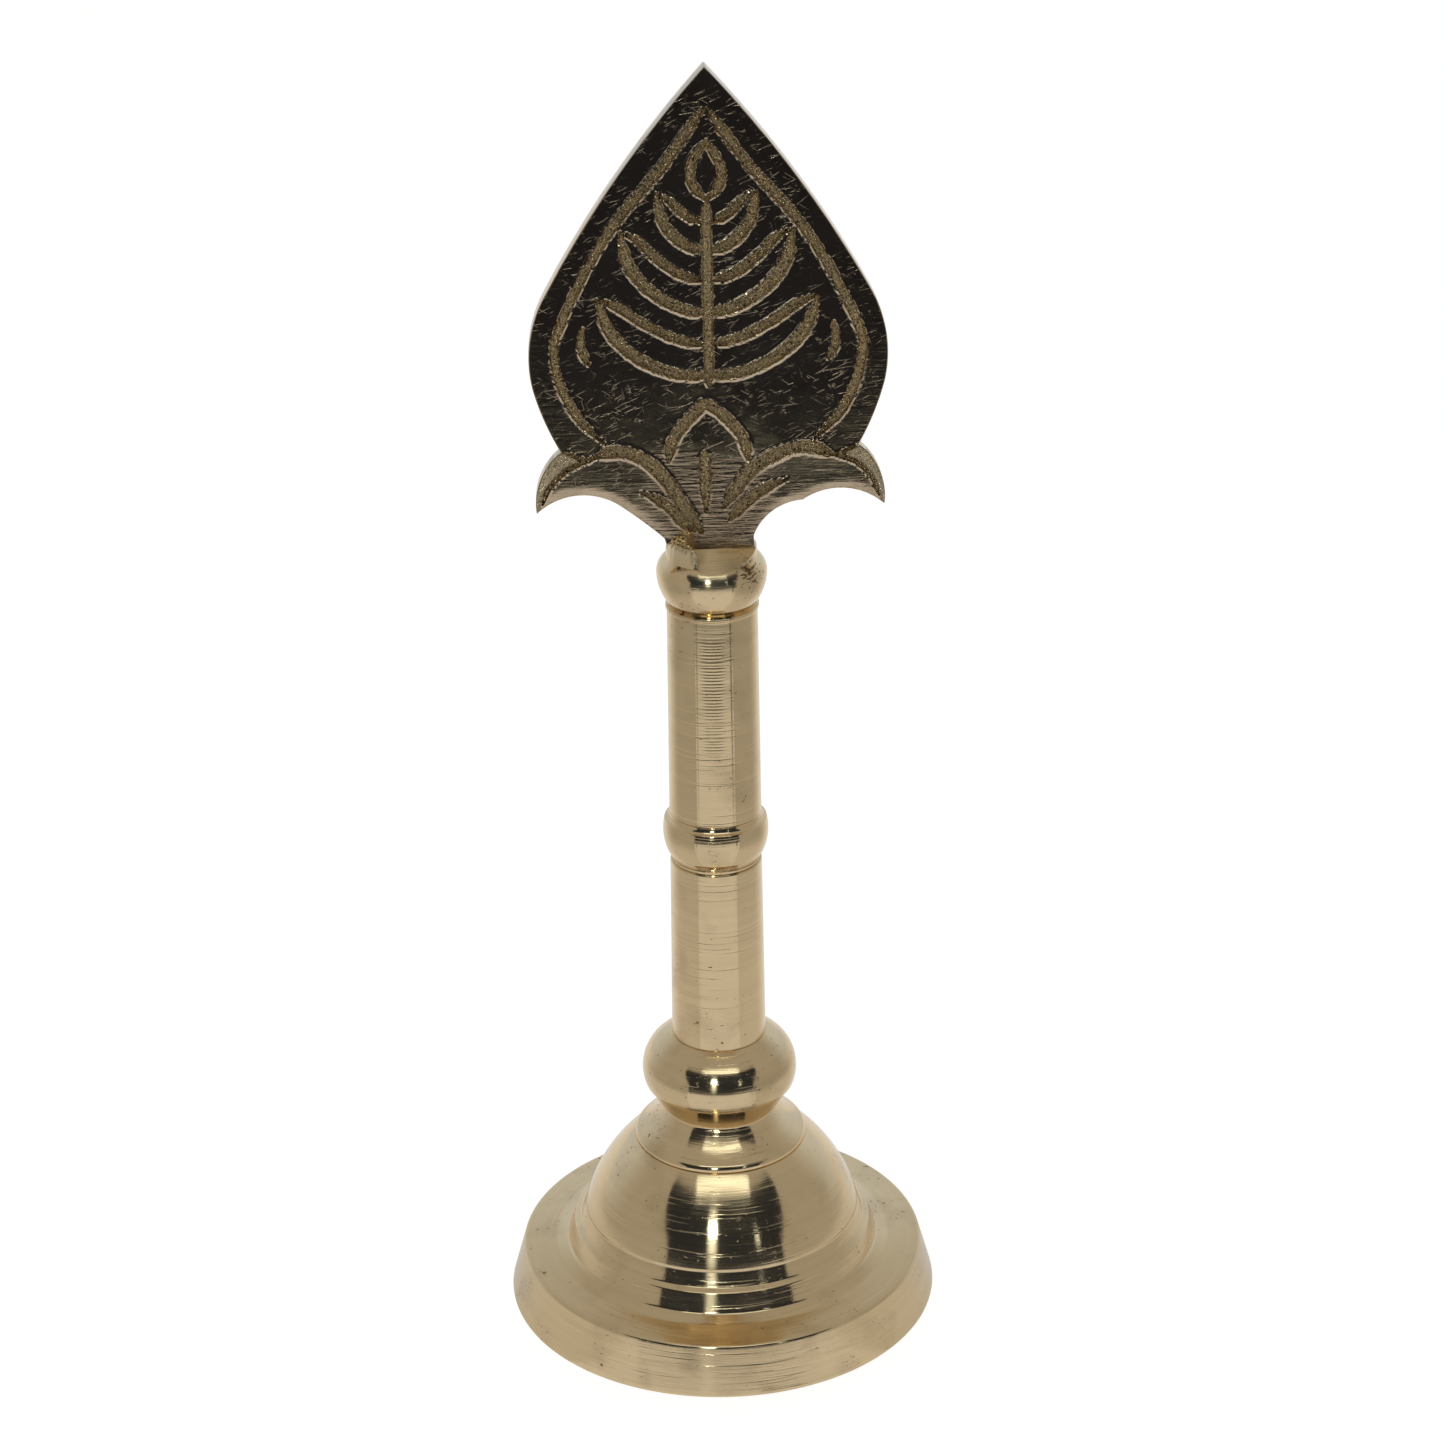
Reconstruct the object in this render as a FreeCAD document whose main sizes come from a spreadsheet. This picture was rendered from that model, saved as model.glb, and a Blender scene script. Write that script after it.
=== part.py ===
import FreeCAD, Part
import Sketcher
import math
import operator
import os

# A standing brass ornament: a domed foot, a turned column built up from loose
# pieces, and an engraved leaf-shaped blade. A threaded rod runs up the middle
# and is drawn tight by a nut under the foot. Millimetres, +Z up, the middle of
# the foot's resting face at the origin, the blade's engraved face towards -Y.

SIZES = {
    # domed foot
    "foot_radius": 32.0,
    "rim_height": 7.4,
    "rim_draft": 2.06,
    "rim_wall": 3.6,
    "brim_wall": 3.2,
    "brim_rise": 0.65,
    "cove_radius": 25.3,
    "cove_rise": 0.3,
    "band_foot_radius": 23.2,
    "band_radius": 22.0,
    "band_rise": 2.1,
    "ledge_rise": 0.75,
    "dome_radius": 21.3,
    "dome_wall": 3.0,
    "dome_bulge": 1.65,
    "dome_height": 14.5,
    "crown_radius": 12.7,
    "crown_wall": 3.0,
    # neck collar
    "lip_radius": 12.6,
    "lip_height": 1.3,
    "lip_slope": 0.6,
    "lip_bulge": 0.3,
    "flare_bulge": 0.3,
    "waist_radius": 8.2,
    "waist_rise": 5.0,
    "collar_height": 5.7,
    "collar_top_radius": 8.5,
    "collar_spigot_radius": 5.0,
    "collar_spigot_length": 1.8,
    # lower knop
    "knop_height": 11.6,
    "knop_foot_radius": 8.8,
    "knop_edge_radius": 10.6,
    "knop_edge_rise": 3.2,
    "knop_edge_step": 0.25,
    "knop_radius": 11.31,
    "knop_belly_rise": 4.9,
    "knop_shoulder_radius": 10.3,
    "knop_shoulder_rise": 9.0,
    "knop_shoulder_bulge": 0.55,
    # column tubes
    "column_foot_radius": 6.89,
    "column_middle_radius": 6.6,
    "column_top_radius": 6.37,
    "column_bore": 4.2,
    "lower_column_length": 28.5,
    "upper_column_length": 32.0,
    "column_lip": 0.2,
    "column_lip_height": 0.45,
    # middle ring
    "ring_height": 7.6,
    "ring_radius": 7.57,
    "ring_belly_rise": 4.9,
    "ring_foot_rise": 1.5,
    "ring_foot_step": 0.35,
    "ring_cove_height": 1.0,
    "ring_cove_depth": 0.22,
    "ring_cove_radius": 7.33,
    "groove_depth": 0.25,
    "groove_height": 0.4,
    # top knop, which holds the blade
    "top_knop_height": 8.5,
    "top_knop_radius": 7.72,
    "top_knop_belly_rise": 4.9,
    "top_knop_bulge": 0.35,
    "top_knop_shoulder_rise": 7.2,
    "stub_radius": 6.4,
    "stub_rise": 1.4,
    "stub_left": 3.6,
    "facet_drop": 1.75,
    "facet_reach": 5.4,
    # joints between the turned pieces
    "spigot_length": 3.0,
    "top_spigot_length": 6.0,
    "spigot_clearance": 0.1,
    "spigot_end_gap": 0.4,
    # blade
    "blade_thickness": 3.0,
    "blade_rise": 67.5,
    "blade_half_width": 24.3,
    "blade_belly_rise": 28.2,
    "blade_shoulder_half_width": 22.0,
    "blade_shoulder_rise": 36.7,
    "blade_side_bulge": 1.15,
    "blade_waist_half_width": 23.9,
    "blade_waist_rise": 23.8,
    "blade_waist_bulge": 0.32,
    "notch_half_width": 20.3,
    "notch_rise": 14.6,
    "petal_half_width": 23.95,
    "petal_tip_rise": 5.8,
    "petal_bulge": 1.25,
    "petal_arch_bulge": 2.05,
    "petal_root_half_width": 12.65,
    "petal_root_rise": 6.8,
    "neck_rise": 1.7,
    "neck_left": 6.5,
    "neck_right": 5.85,
    "throat_bulge_left": 0.12,
    "throat_bulge_right": 1.3,
    "neck_foot_half_width": 6.0,
    "tang_half_width": 3.9,
    "tang_length": 4.6,
    "tang_gap": 0.3,
    # tie rod and its fastening
    "thread_radius": 2.5,
    "rod_clearance": 0.25,
    "rod_end_gap": 0.5,
    "bore_roof": 0.8,
    "rod_chamfer": 0.5,
    "rod_proud": 2.0,
    "washer_radius": 9.0,
    "washer_thickness": 1.0,
    "spring_washer_radius": 4.4,
    "spring_washer_thickness": 1.2,
    "spring_washer_slit": 0.9,
    "nut_across_flats": 8.0,
    "nut_height": 4.0,
}

NUT_SIDES = 6
NUT_CHAMFER_DEGREES = 30

OPERATORS = {
    "+": operator.add,
    "-": operator.sub,
    "*": operator.mul,
    "/": operator.truediv,
}


class Length:
    """A number that remembers the sheet expression it was worked out by."""

    def __init__(self, value, text):
        self.value = value
        self.text = text

    def __add__(self, other):
        return combine(self, "+", other)

    def __sub__(self, other):
        return combine(self, "-", other)

    def __mul__(self, other):
        return combine(self, "*", other)

    def __truediv__(self, other):
        return combine(self, "/", other)

    def __neg__(self):
        return Length(-self.value, "(-" + self.text + ")")


def as_length(number):
    if isinstance(number, Length):
        return number
    return Length(float(number), repr(float(number)))


def combine(left, sign, right):
    left, right = as_length(left), as_length(right)
    value = OPERATORS[sign](left.value, right.value)
    return Length(value, "(" + left.text + sign + right.text + ")")


def root(square):
    return Length(math.sqrt(square.value), "sqrt(" + square.text + ")")


def bulged(start, end, bulge):
    """The middle of an arc from start to end that stands out by bulge on the
    right-hand side of the way from start to end."""
    across = end[0] - start[0]
    along = end[1] - start[1]
    chord = root(across * across + along * along)
    return (
        (start[0] + end[0]) / 2 + along * bulge / chord,
        (start[1] + end[1]) / 2 - across * bulge / chord,
    )


# ---------------------------------------------------------------- document

doc = FreeCAD.newDocument("lamp")
sheet = doc.addObject("Spreadsheet::Sheet", "sizes")
for row, (alias, number) in enumerate(SIZES.items(), start=1):
    sheet.set("A%d" % row, alias)
    sheet.set("B%d" % row, str(number))
    sheet.setAlias("B%d" % row, alias)
doc.recompute()


def size(alias):
    return Length(SIZES[alias], "sizes." + alias)


ZERO = as_length(0)


# ------------------------------------------------------------------ tools

def new_body(name):
    body = doc.addObject("PartDesign::Body", name)
    body.Label = name
    body.Placement = FreeCAD.Placement()
    return body


def origin_plane(body, role):
    return [item for item in body.Origin.OriginFeatures if item.Role == role][0]


def new_sketch(body, name, role):
    sketch = body.newObject("Sketcher::SketchObject", name)
    sketch.AttachmentSupport = [(origin_plane(body, role), "")]
    sketch.MapMode = "FlatFace"
    return sketch


def point(place):
    return FreeCAD.Vector(place[0].value, place[1].value, 0)


def pin_down(sketch, geometry, end, place):
    """Ties one end of a line to its two measures from the sketch's origin."""
    for kind, axis, measure in (("DistanceX", -2, place[0]), ("DistanceY", -1, place[1])):
        if abs(measure.value) < 1e-9:
            sketch.addConstraint(Sketcher.Constraint("PointOnObject", geometry, end, axis))
            continue
        if measure.value > 0:
            ends = (-1, 1, geometry, end)
            measure_out = measure
        else:
            ends = (geometry, end, -1, 1)
            measure_out = -measure
        number = sketch.addConstraint(Sketcher.Constraint(kind, *ends, measure_out.value))
        sketch.setExpression("Constraints[%d]" % number, measure_out.text)


def arc_through(start, middle, end):
    """An arc of a circle, and whether it runs anticlockwise from start."""
    circle = Part.Arc(start, middle, end).toShape().Curve
    centre = circle.Center
    turn = (middle - start).cross(end - middle).z
    first, last = (start, end) if turn > 0 else (end, start)
    angles = [math.atan2(spot.y - centre.y, spot.x - centre.x) for spot in (first, last)]
    flat = Part.Circle(centre, FreeCAD.Vector(0, 0, 1), circle.Radius)
    return Part.ArcOfCircle(flat, angles[0], angles[1]), turn > 0


def draw(sketch, corners):
    """Draws a closed outline. A corner is (x, y), or (x, y, middle) where an
    arc through that middle leads on to the next corner."""
    ends = []
    for index, corner in enumerate(corners):
        following = corners[(index + 1) % len(corners)]
        start, end = point(corner), point(following)
        if len(corner) == 2:
            number = sketch.addGeometry(Part.LineSegment(start, end), False)
            ends.append((number, 1, 2))
            continue
        arc, anticlockwise = arc_through(start, point(corner[2]), end)
        number = sketch.addGeometry(arc, False)
        ends.append((number, 1, 2) if anticlockwise else (number, 2, 1))
        middle = sketch.addGeometry(Part.Point(point(corner[2])), True)
        pin_down(sketch, middle, 1, corner[2])
        sketch.addConstraint(Sketcher.Constraint("PointOnObject", middle, 1, number))
    for index, (number, first, last) in enumerate(ends):
        onward = ends[(index + 1) % len(ends)]
        joint = Sketcher.Constraint("Coincident", number, last, onward[0], onward[1])
        sketch.addConstraint(joint)
        pin_down(sketch, number, first, corners[index])


def turned(name, corners):
    """A piece turned on the lathe: its half section spun round the Z axis."""
    body = new_body(name)
    profile = new_sketch(body, name + "_profile", "XZ_Plane")
    draw(profile, corners)
    turning = body.newObject("PartDesign::Revolution", name + "_turning")
    turning.Profile = profile
    turning.ReferenceAxis = (profile, ["V_Axis"])
    turning.Angle = 360
    return body


def pad(body, name, role, corners, depth):
    """A plate of the given depth, half of it on each side of its sketch."""
    profile = new_sketch(body, name + "_profile", role)
    draw(profile, corners)
    plate = body.newObject("PartDesign::Pad", name)
    plate.Profile = profile
    plate.SideType = "Symmetric"
    plate.setExpression("Length", depth.text)
    return plate


def pocket(body, name, role, corners, forward, back):
    """A cut that runs forward and back from its sketch by two measures."""
    profile = new_sketch(body, name + "_profile", role)
    draw(profile, corners)
    before = body.Shape.Volume
    cut = body.newObject("PartDesign::Pocket", name)
    cut.Profile = profile
    cut.SideType = "Two sides"
    cut.setExpression("Length", forward.text)
    cut.setExpression("Length2", back.text)
    doc.recompute()
    if not body.Shape.Volume < before - 1e-6:
        raise RuntimeError(name + " cuts nothing")


def ring_section(inner, outer, bottom, top):
    return [(inner, bottom), (outer, bottom), (outer, top), (inner, top)]


# ----------------------------------------------------------------- levels

crown = (size("rim_height") + size("brim_rise") + size("cove_rise") + size("band_rise")
         + size("ledge_rise") + size("dome_height"))
collar_top = crown + size("collar_height")
knop_top = collar_top + size("knop_height")
lower_column_top = knop_top + size("lower_column_length")
ring_top = lower_column_top + size("ring_height")
upper_column_top = ring_top + size("upper_column_length")
seat = upper_column_top + size("top_knop_height")
crown_underside = crown - size("crown_wall")
washer_bottom = crown_underside - size("washer_thickness")
spring_bottom = washer_bottom - size("spring_washer_thickness")
nut_bottom = spring_bottom - size("nut_height")
slot_floor = seat - size("tang_length") - size("tang_gap")
rod_bore_top = slot_floor - size("bore_roof")

rod_hole = size("thread_radius") + size("rod_clearance")
column_bore = size("column_bore")
spigot_radius = column_bore - size("spigot_clearance")
spigot_length = size("spigot_length")
spigot_room = spigot_length + size("spigot_end_gap")
waist_level = crown + size("waist_rise")


# ------------------------------------------------------------------- foot

def make_foot():
    brim_level = size("rim_height") + size("brim_rise")
    band_foot = brim_level + size("cove_rise")
    band_top = band_foot + size("band_rise")
    dome_base = band_top + size("ledge_rise")
    hole = size("collar_spigot_radius") + size("spigot_clearance")
    dome_foot = (size("dome_radius"), dome_base)
    dome_head = (size("crown_radius"), crown)
    inner_foot = (size("dome_radius") - size("dome_wall"), dome_base - size("dome_wall"))
    inner_head = (size("crown_radius") - size("dome_wall") / 2, crown_underside)
    brim_underside = size("rim_height") - size("brim_wall")
    return turned("foot", [
        (size("foot_radius"), ZERO),
        (size("foot_radius") - size("rim_draft"), size("rim_height")),
        (size("cove_radius"), brim_level),
        (size("band_foot_radius"), band_foot),
        (size("band_radius"), band_top),
        dome_foot + (bulged(dome_foot, dome_head, size("dome_bulge")),),
        dome_head,
        (hole, crown),
        (hole, crown_underside),
        inner_head + (bulged(inner_head, inner_foot, -size("dome_bulge")),),
        inner_foot,
        (size("band_foot_radius"), brim_underside),
        (size("foot_radius") - size("rim_wall") - size("rim_draft") / 2, brim_underside),
        (size("foot_radius") - size("rim_wall"), ZERO),
    ])


# --------------------------------------------------------- turned column

def make_neck_collar():
    spigot_foot = crown - size("collar_spigot_length")
    lip_foot = (size("lip_radius"), crown)
    lip_head = (size("lip_radius") - size("lip_slope"), crown + size("lip_height"))
    waist = (size("waist_radius"), waist_level)
    return turned("neck_collar", [
        (rod_hole, spigot_foot),
        (size("collar_spigot_radius"), spigot_foot),
        (size("collar_spigot_radius"), crown),
        lip_foot + (bulged(lip_foot, lip_head, size("lip_bulge")),),
        lip_head + (bulged(lip_head, waist, -size("flare_bulge")),),
        waist,
        (size("collar_top_radius"), collar_top),
        (spigot_radius, collar_top),
        (spigot_radius, collar_top + spigot_length),
        (rod_hole, collar_top + spigot_length),
    ])


def make_lower_knop():
    edge_level = collar_top + size("knop_edge_rise")
    edge = (size("knop_edge_radius"), edge_level)
    edge_top = (edge[0] + size("knop_edge_step"), edge_level + size("knop_edge_step"))
    belly = (size("knop_radius"), collar_top + size("knop_belly_rise"))
    shoulder = (size("knop_shoulder_radius"), collar_top + size("knop_shoulder_rise"))
    head = (size("column_foot_radius"), knop_top)
    return turned("lower_knop", [
        (column_bore, collar_top),
        (size("knop_foot_radius"), collar_top),
        edge,
        edge_top + (belly,),
        shoulder + (bulged(shoulder, head, size("knop_shoulder_bulge")),),
        head,
        (spigot_radius, knop_top),
        (spigot_radius, knop_top + spigot_length),
        (rod_hole, knop_top + spigot_length),
        (rod_hole, collar_top + spigot_room),
        (column_bore, collar_top + spigot_room),
    ])


def make_lower_column():
    return turned("lower_column", [
        (column_bore, knop_top),
        (size("column_foot_radius"), knop_top),
        (size("column_middle_radius"), lower_column_top),
        (column_bore, lower_column_top),
    ])


def make_middle_ring():
    neck_radius = size("column_middle_radius") - size("groove_depth")
    neck_top = lower_column_top + size("groove_height")
    foot = (size("column_middle_radius") + size("ring_foot_step"),
            lower_column_top + size("ring_foot_rise"))
    belly = (size("ring_radius"), lower_column_top + size("ring_belly_rise"))
    cove_foot = (size("ring_cove_radius"), ring_top - size("ring_cove_height"))
    cove_head = (size("column_middle_radius"), ring_top)
    return turned("middle_ring", [
        (rod_hole, lower_column_top - spigot_length),
        (spigot_radius, lower_column_top - spigot_length),
        (spigot_radius, lower_column_top),
        (neck_radius, lower_column_top),
        (neck_radius, neck_top),
        foot + (belly,),
        cove_foot + (bulged(cove_foot, cove_head, -size("ring_cove_depth")),),
        cove_head,
        (spigot_radius, ring_top),
        (spigot_radius, ring_top + spigot_length),
        (rod_hole, ring_top + spigot_length),
    ])


def make_upper_column():
    lip_radius = size("column_top_radius") + size("column_lip")
    lip_level = upper_column_top - size("column_lip_height")
    return turned("upper_column", [
        (column_bore, ring_top),
        (size("column_middle_radius"), ring_top),
        (size("column_top_radius"), lip_level - size("column_lip")),
        (lip_radius, lip_level),
        (lip_radius, upper_column_top),
        (column_bore, upper_column_top),
    ])


# ---------------------------------------------------- top knop and blade

def make_top_knop():
    spigot_foot = upper_column_top - size("top_spigot_length")
    neck_radius = size("column_top_radius") - size("groove_depth")
    neck_top = upper_column_top + size("groove_height")
    bead_foot = (size("column_top_radius"), neck_top + size("groove_depth"))
    belly = (size("top_knop_radius"), upper_column_top + size("top_knop_belly_rise"))
    shoulder = (size("stub_radius"), upper_column_top + size("top_knop_shoulder_rise"))
    stub_top = seat + size("stub_rise")
    body = turned("top_knop", [
        (ZERO, rod_bore_top),
        (size("thread_radius"), rod_bore_top),
        (size("thread_radius"), spigot_foot),
        (spigot_radius, spigot_foot),
        (spigot_radius, upper_column_top),
        (neck_radius, upper_column_top),
        (neck_radius, neck_top),
        bead_foot + (bulged(bead_foot, belly, size("top_knop_bulge")),),
        belly + (bulged(belly, shoulder, size("top_knop_bulge")),),
        shoulder,
        (size("stub_radius"), stub_top),
        (ZERO, stub_top),
    ])
    doc.recompute()
    half_plate = size("blade_thickness") / 2
    side = size("top_knop_radius")
    open_top = stub_top + size("stub_rise")
    pocket(body, "blade_channel", "XZ_Plane",
           [(-side, seat), (side, seat), (side, open_top), (-side, open_top)],
           half_plate, half_plate)
    slot_side = size("tang_half_width") + size("spigot_clearance")
    pocket(body, "tang_slot", "XZ_Plane",
           [(-slot_side, slot_floor), (slot_side, slot_floor), (slot_side, seat),
            (-slot_side, seat)],
           half_plate, half_plate)
    slope = size("facet_drop") / size("facet_reach")
    outside = half_plate + side
    for name, sign, left in (("front_facet", -1, size("stub_left")), ("back_facet", 1, side)):
        pocket(body, name, "YZ_Plane",
               [(half_plate * sign, seat), (half_plate * sign, open_top),
                (outside * sign, open_top), (outside * sign, seat - slope * side)],
               left, side)
    return body


def blade_side(sign, neck, throat_bulge):
    """One side of the blade, from the point at the top down to the tang."""
    def place(across, rise):
        return (across * sign, seat + rise)

    def arc_to(start, end, bulge):
        return start + (bulged(start, end, bulge * -sign),)

    tip = (ZERO, seat + size("blade_rise"))
    shoulder = place(size("blade_shoulder_half_width"), size("blade_shoulder_rise"))
    belly = place(size("blade_half_width"), size("blade_belly_rise"))
    waist = place(size("blade_waist_half_width"), size("blade_waist_rise"))
    notch = place(size("notch_half_width"), size("notch_rise"))
    petal_tip = place(size("petal_half_width"), size("petal_tip_rise"))
    root_of_petal = place(size("petal_root_half_width"), size("petal_root_rise"))
    throat = place(neck, size("neck_rise"))
    return [
        arc_to(tip, shoulder, size("blade_side_bulge")),
        shoulder + (belly,),
        arc_to(waist, notch, size("blade_waist_bulge")),
        arc_to(notch, petal_tip, size("petal_bulge")),
        arc_to(petal_tip, root_of_petal, -size("petal_arch_bulge")),
        arc_to(root_of_petal, throat, -throat_bulge),
        throat,
        place(size("neck_foot_half_width"), ZERO),
        place(size("tang_half_width"), ZERO),
        place(size("tang_half_width"), -size("tang_length")),
    ]


def reversed_outline(corners):
    """The same outline walked the other way round, without its first corner."""
    backwards = []
    for index in range(len(corners) - 1, 0, -1):
        corner = corners[index][:2]
        middle = corners[index - 1][2:]
        backwards.append(corner + middle)
    return backwards


def make_blade():
    body = new_body("blade")
    right = blade_side(1, size("neck_right"), size("throat_bulge_right"))
    left = blade_side(-1, size("neck_left"), size("throat_bulge_left"))
    pad(body, "blade_plate", "XZ_Plane", right + reversed_outline(left),
        size("blade_thickness"))
    return body


# ------------------------------------------------ tie rod and fastening

def make_tie_rod():
    rod_radius = size("thread_radius")
    chamfer = size("rod_chamfer")
    bottom = nut_bottom - size("rod_proud")
    top = rod_bore_top - size("rod_end_gap")
    return turned("tie_rod", [
        (ZERO, bottom),
        (rod_radius - chamfer, bottom),
        (rod_radius, bottom + chamfer),
        (rod_radius, top - chamfer),
        (rod_radius - chamfer, top),
        (ZERO, top),
    ])


def make_base_washer():
    return turned("base_washer",
                  ring_section(rod_hole, size("washer_radius"), washer_bottom,
                               crown_underside))


def make_spring_washer():
    outer = size("spring_washer_radius")
    body = turned("spring_washer", ring_section(rod_hole, outer, spring_bottom, washer_bottom))
    doc.recompute()
    half_slit = size("spring_washer_slit") / 2
    pocket(body, "washer_slit", "XY_Plane",
           [(ZERO, -half_slit), (outer * 2, -half_slit), (outer * 2, half_slit),
            (ZERO, half_slit)],
           washer_bottom * 2, washer_bottom * 2)
    return body


def make_base_nut():
    """A hexagon nut, its corners turned down at both ends."""
    radius = size("thread_radius")
    flat_half = size("nut_across_flats") / 2
    half_turn = math.pi / NUT_SIDES
    corner = flat_half / math.cos(half_turn)
    fall = (corner - flat_half) * math.tan(math.radians(NUT_CHAMFER_DEGREES))
    body = turned("base_nut", [
        (radius, nut_bottom),
        (flat_half, nut_bottom),
        (corner, nut_bottom + fall),
        (corner, spring_bottom - fall),
        (flat_half, spring_bottom),
        (radius, spring_bottom),
    ])
    doc.recompute()
    far = size("nut_across_flats")
    for index in range(NUT_SIDES):
        pocket_flat(body, "nut_flat_%d" % (index + 1), 2 * half_turn * index, flat_half, far)
    return body


def pocket_flat(body, name, angle, flat_half, far):
    """Cuts one flat of the nut: a half space turned round the axis by angle.
    The cut runs well past the nut above and below."""
    along = (math.cos(angle), math.sin(angle))

    def place(out, side):
        return (out * along[0] - side * along[1], out * along[1] + side * along[0])

    pocket(body, name, "XY_Plane",
           [place(flat_half, -far), place(far, -far), place(far, far), place(flat_half, far)],
           spring_bottom * 2, spring_bottom * 2)


# -------------------------------------------------------------- the part

pieces = [
    make_foot(),
    make_neck_collar(),
    make_lower_knop(),
    make_lower_column(),
    make_middle_ring(),
    make_upper_column(),
    make_top_knop(),
    make_blade(),
    make_tie_rod(),
    make_base_washer(),
    make_spring_washer(),
    make_base_nut(),
]
doc.recompute()

for item in doc.Objects:
    for state in ("Invalid", "Error"):
        if state in item.State:
            raise RuntimeError(item.Name + " is " + state)
for piece in pieces:
    shape = piece.Shape
    if shape.isNull() or not shape.isValid() or len(shape.Solids) != 1:
        raise RuntimeError(piece.Label + " is not one valid solid")

os.makedirs("parts", exist_ok=True)
for piece in pieces:
    piece.Shape.exportStep("parts/" + piece.Label + ".step")
    box = piece.Shape.BoundBox
    print("%-16s volume %9.1f  z %7.2f to %7.2f  x %7.2f to %7.2f"
          % (piece.Label, piece.Shape.Volume, box.ZMin, box.ZMax, box.XMin, box.XMax))
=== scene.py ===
import math

import bmesh
import bpy
import numpy as np
from bpy.props import FloatProperty, FloatVectorProperty, IntProperty, PointerProperty
from mathutils import Matrix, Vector
from mathutils.geometry import delaunay_2d_cdt


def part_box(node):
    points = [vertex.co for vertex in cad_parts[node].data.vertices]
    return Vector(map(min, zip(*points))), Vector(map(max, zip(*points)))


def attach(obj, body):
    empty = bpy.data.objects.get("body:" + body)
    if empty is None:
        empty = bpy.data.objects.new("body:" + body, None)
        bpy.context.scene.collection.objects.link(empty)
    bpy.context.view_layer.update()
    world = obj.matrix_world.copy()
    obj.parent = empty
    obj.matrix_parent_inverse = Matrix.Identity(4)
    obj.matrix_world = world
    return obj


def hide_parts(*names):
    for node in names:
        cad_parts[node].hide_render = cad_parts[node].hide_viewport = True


bl_info = {
    "name": "Engraved leaf on a turned brass column",
    "version": (1, 0, 0),
    "blender": (4, 5, 0),
    "location": "3D View > Sidebar > Brass leaf",
    "description": "Dresses the packed model of a turned brass stand with an engraved leaf",
    "category": "Object",
}

MM = 0.001
FULL_TURN = 2 * math.pi

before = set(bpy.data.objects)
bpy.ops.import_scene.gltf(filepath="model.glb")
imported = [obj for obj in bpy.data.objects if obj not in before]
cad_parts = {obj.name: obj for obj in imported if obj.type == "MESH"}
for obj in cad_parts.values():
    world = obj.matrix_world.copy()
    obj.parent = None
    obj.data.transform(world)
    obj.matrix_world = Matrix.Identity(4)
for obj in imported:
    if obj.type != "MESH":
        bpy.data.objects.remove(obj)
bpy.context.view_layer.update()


def level(node, top):
    """The lowest or highest level of a node, in millimetres."""
    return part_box(node)[1 if top else 0][2] / MM


def half_width(node, axis=0):
    """How far a node reaches from the middle axis, in millimetres."""
    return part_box(node)[1][axis] / MM


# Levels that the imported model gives, in millimetres.
CROWN = level("foot", True)
COLLAR_TOP = level("lower_knop", False)
KNOP_TOP = level("lower_column", False)
LOWER_COLUMN_TOP = level("lower_column", True)
RING_TOP = level("upper_column", False)
UPPER_COLUMN_TOP = level("upper_column", True)
STUB_TOP = level("top_knop", True)
BLADE_TOP = level("blade", True)
SEAT = STUB_TOP - 1.4
HALF_PLATE = half_width("blade", 1)
# The joints between the turned pieces: a spigot in a bore, round the rod.
SPIGOT = 3.0
SPIGOT_RADIUS = 4.1
BORE = 4.2
ROD_HOLE = 2.75
# The shafts and knops meet at these radii.
SHAFT_FOOT_RADIUS = 6.89
SHAFT_RADIUS = 6.6
NECK_RADIUS = 6.37


# ------------------------------------------------------------------ sizes

def length(name, description, millimetres):
    return FloatProperty(name=name, description=description, default=millimetres * MM,
                         unit="LENGTH", precision=5)


def tint(name, description, code):
    return FloatVectorProperty(name=name, description=description, default=to_linear(code),
                               subtype="COLOR", size=3, min=0.0, max=1.0)


def to_linear(code):
    """An sRGB hex code as linear red, green and blue."""
    values = [int(code[start:start + 2], 16) / 255 for start in (0, 2, 4)]
    return [v / 12.92 if v <= 0.04045 else ((v + 0.055) / 1.055) ** 2.4 for v in values]


class TurnedSizes(bpy.types.PropertyGroup):
    foot_radius: length("Foot radius", "From the axis to the rim's lower edge",
                        half_width("foot"))
    rim_height: length("Rim height", "Height of the foot's upright rim", 7.4)
    dome_bulge: length("Dome bulge", "How far the dome stands out from its chord", 1.65)
    edge_rounding: length("Edge rounding", "Rounding of the turned edges", 0.3)
    waviness: length("Waviness", "Depth of the slow waves that hand turning leaves", 0.012)
    wave_pitch: length("Wave pitch", "Distance along the axis between two waves", 1.6)
    segments: IntProperty(name="Segments", description="Steps round the axis", default=224,
                          min=24, max=360)


class LeafSizes(bpy.types.PropertyGroup):
    grid: length("Face grid", "Spacing of the points on the engraved face", 0.2)
    edge_rounding: length("Edge rounding", "Rounding of the plate's edges", 0.14)
    stroke_width: length("Stroke width", "Width of the engraved strokes", 1.55)
    stroke_depth: length("Stroke depth", "Depth of the engraved strokes", 0.6)
    burr_height: length("Burr height", "Height of the lip pushed up beside a stroke", 0.12)


class ThreadSizes(bpy.types.PropertyGroup):
    pitch: length("Thread pitch", "Distance between two turns of the thread", 0.8)
    depth: length("Thread depth", "Depth of the thread", 0.45)


class Colours(bpy.types.PropertyGroup):
    brass: tint("Brass", "Polished brass, a little aged", "E7CDA0")
    brass_deep: tint("Deep brass", "Brass in stains and old scratches", "6E5236")
    leaf: tint("Leaf", "The darker brass of the leaf", "D2BD9E")
    stroke: tint("Stroke floors", "Freshly cut or filed brass, rough and pale", "F2DEB6")
    steel: tint("Zinc-plated steel", "Rod, nut and washers", "C4C6C6")
    floor: tint("Floor", "Colour of the floor", "F4F2EE")


# ------------------------------------------------------------------ tools

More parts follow.
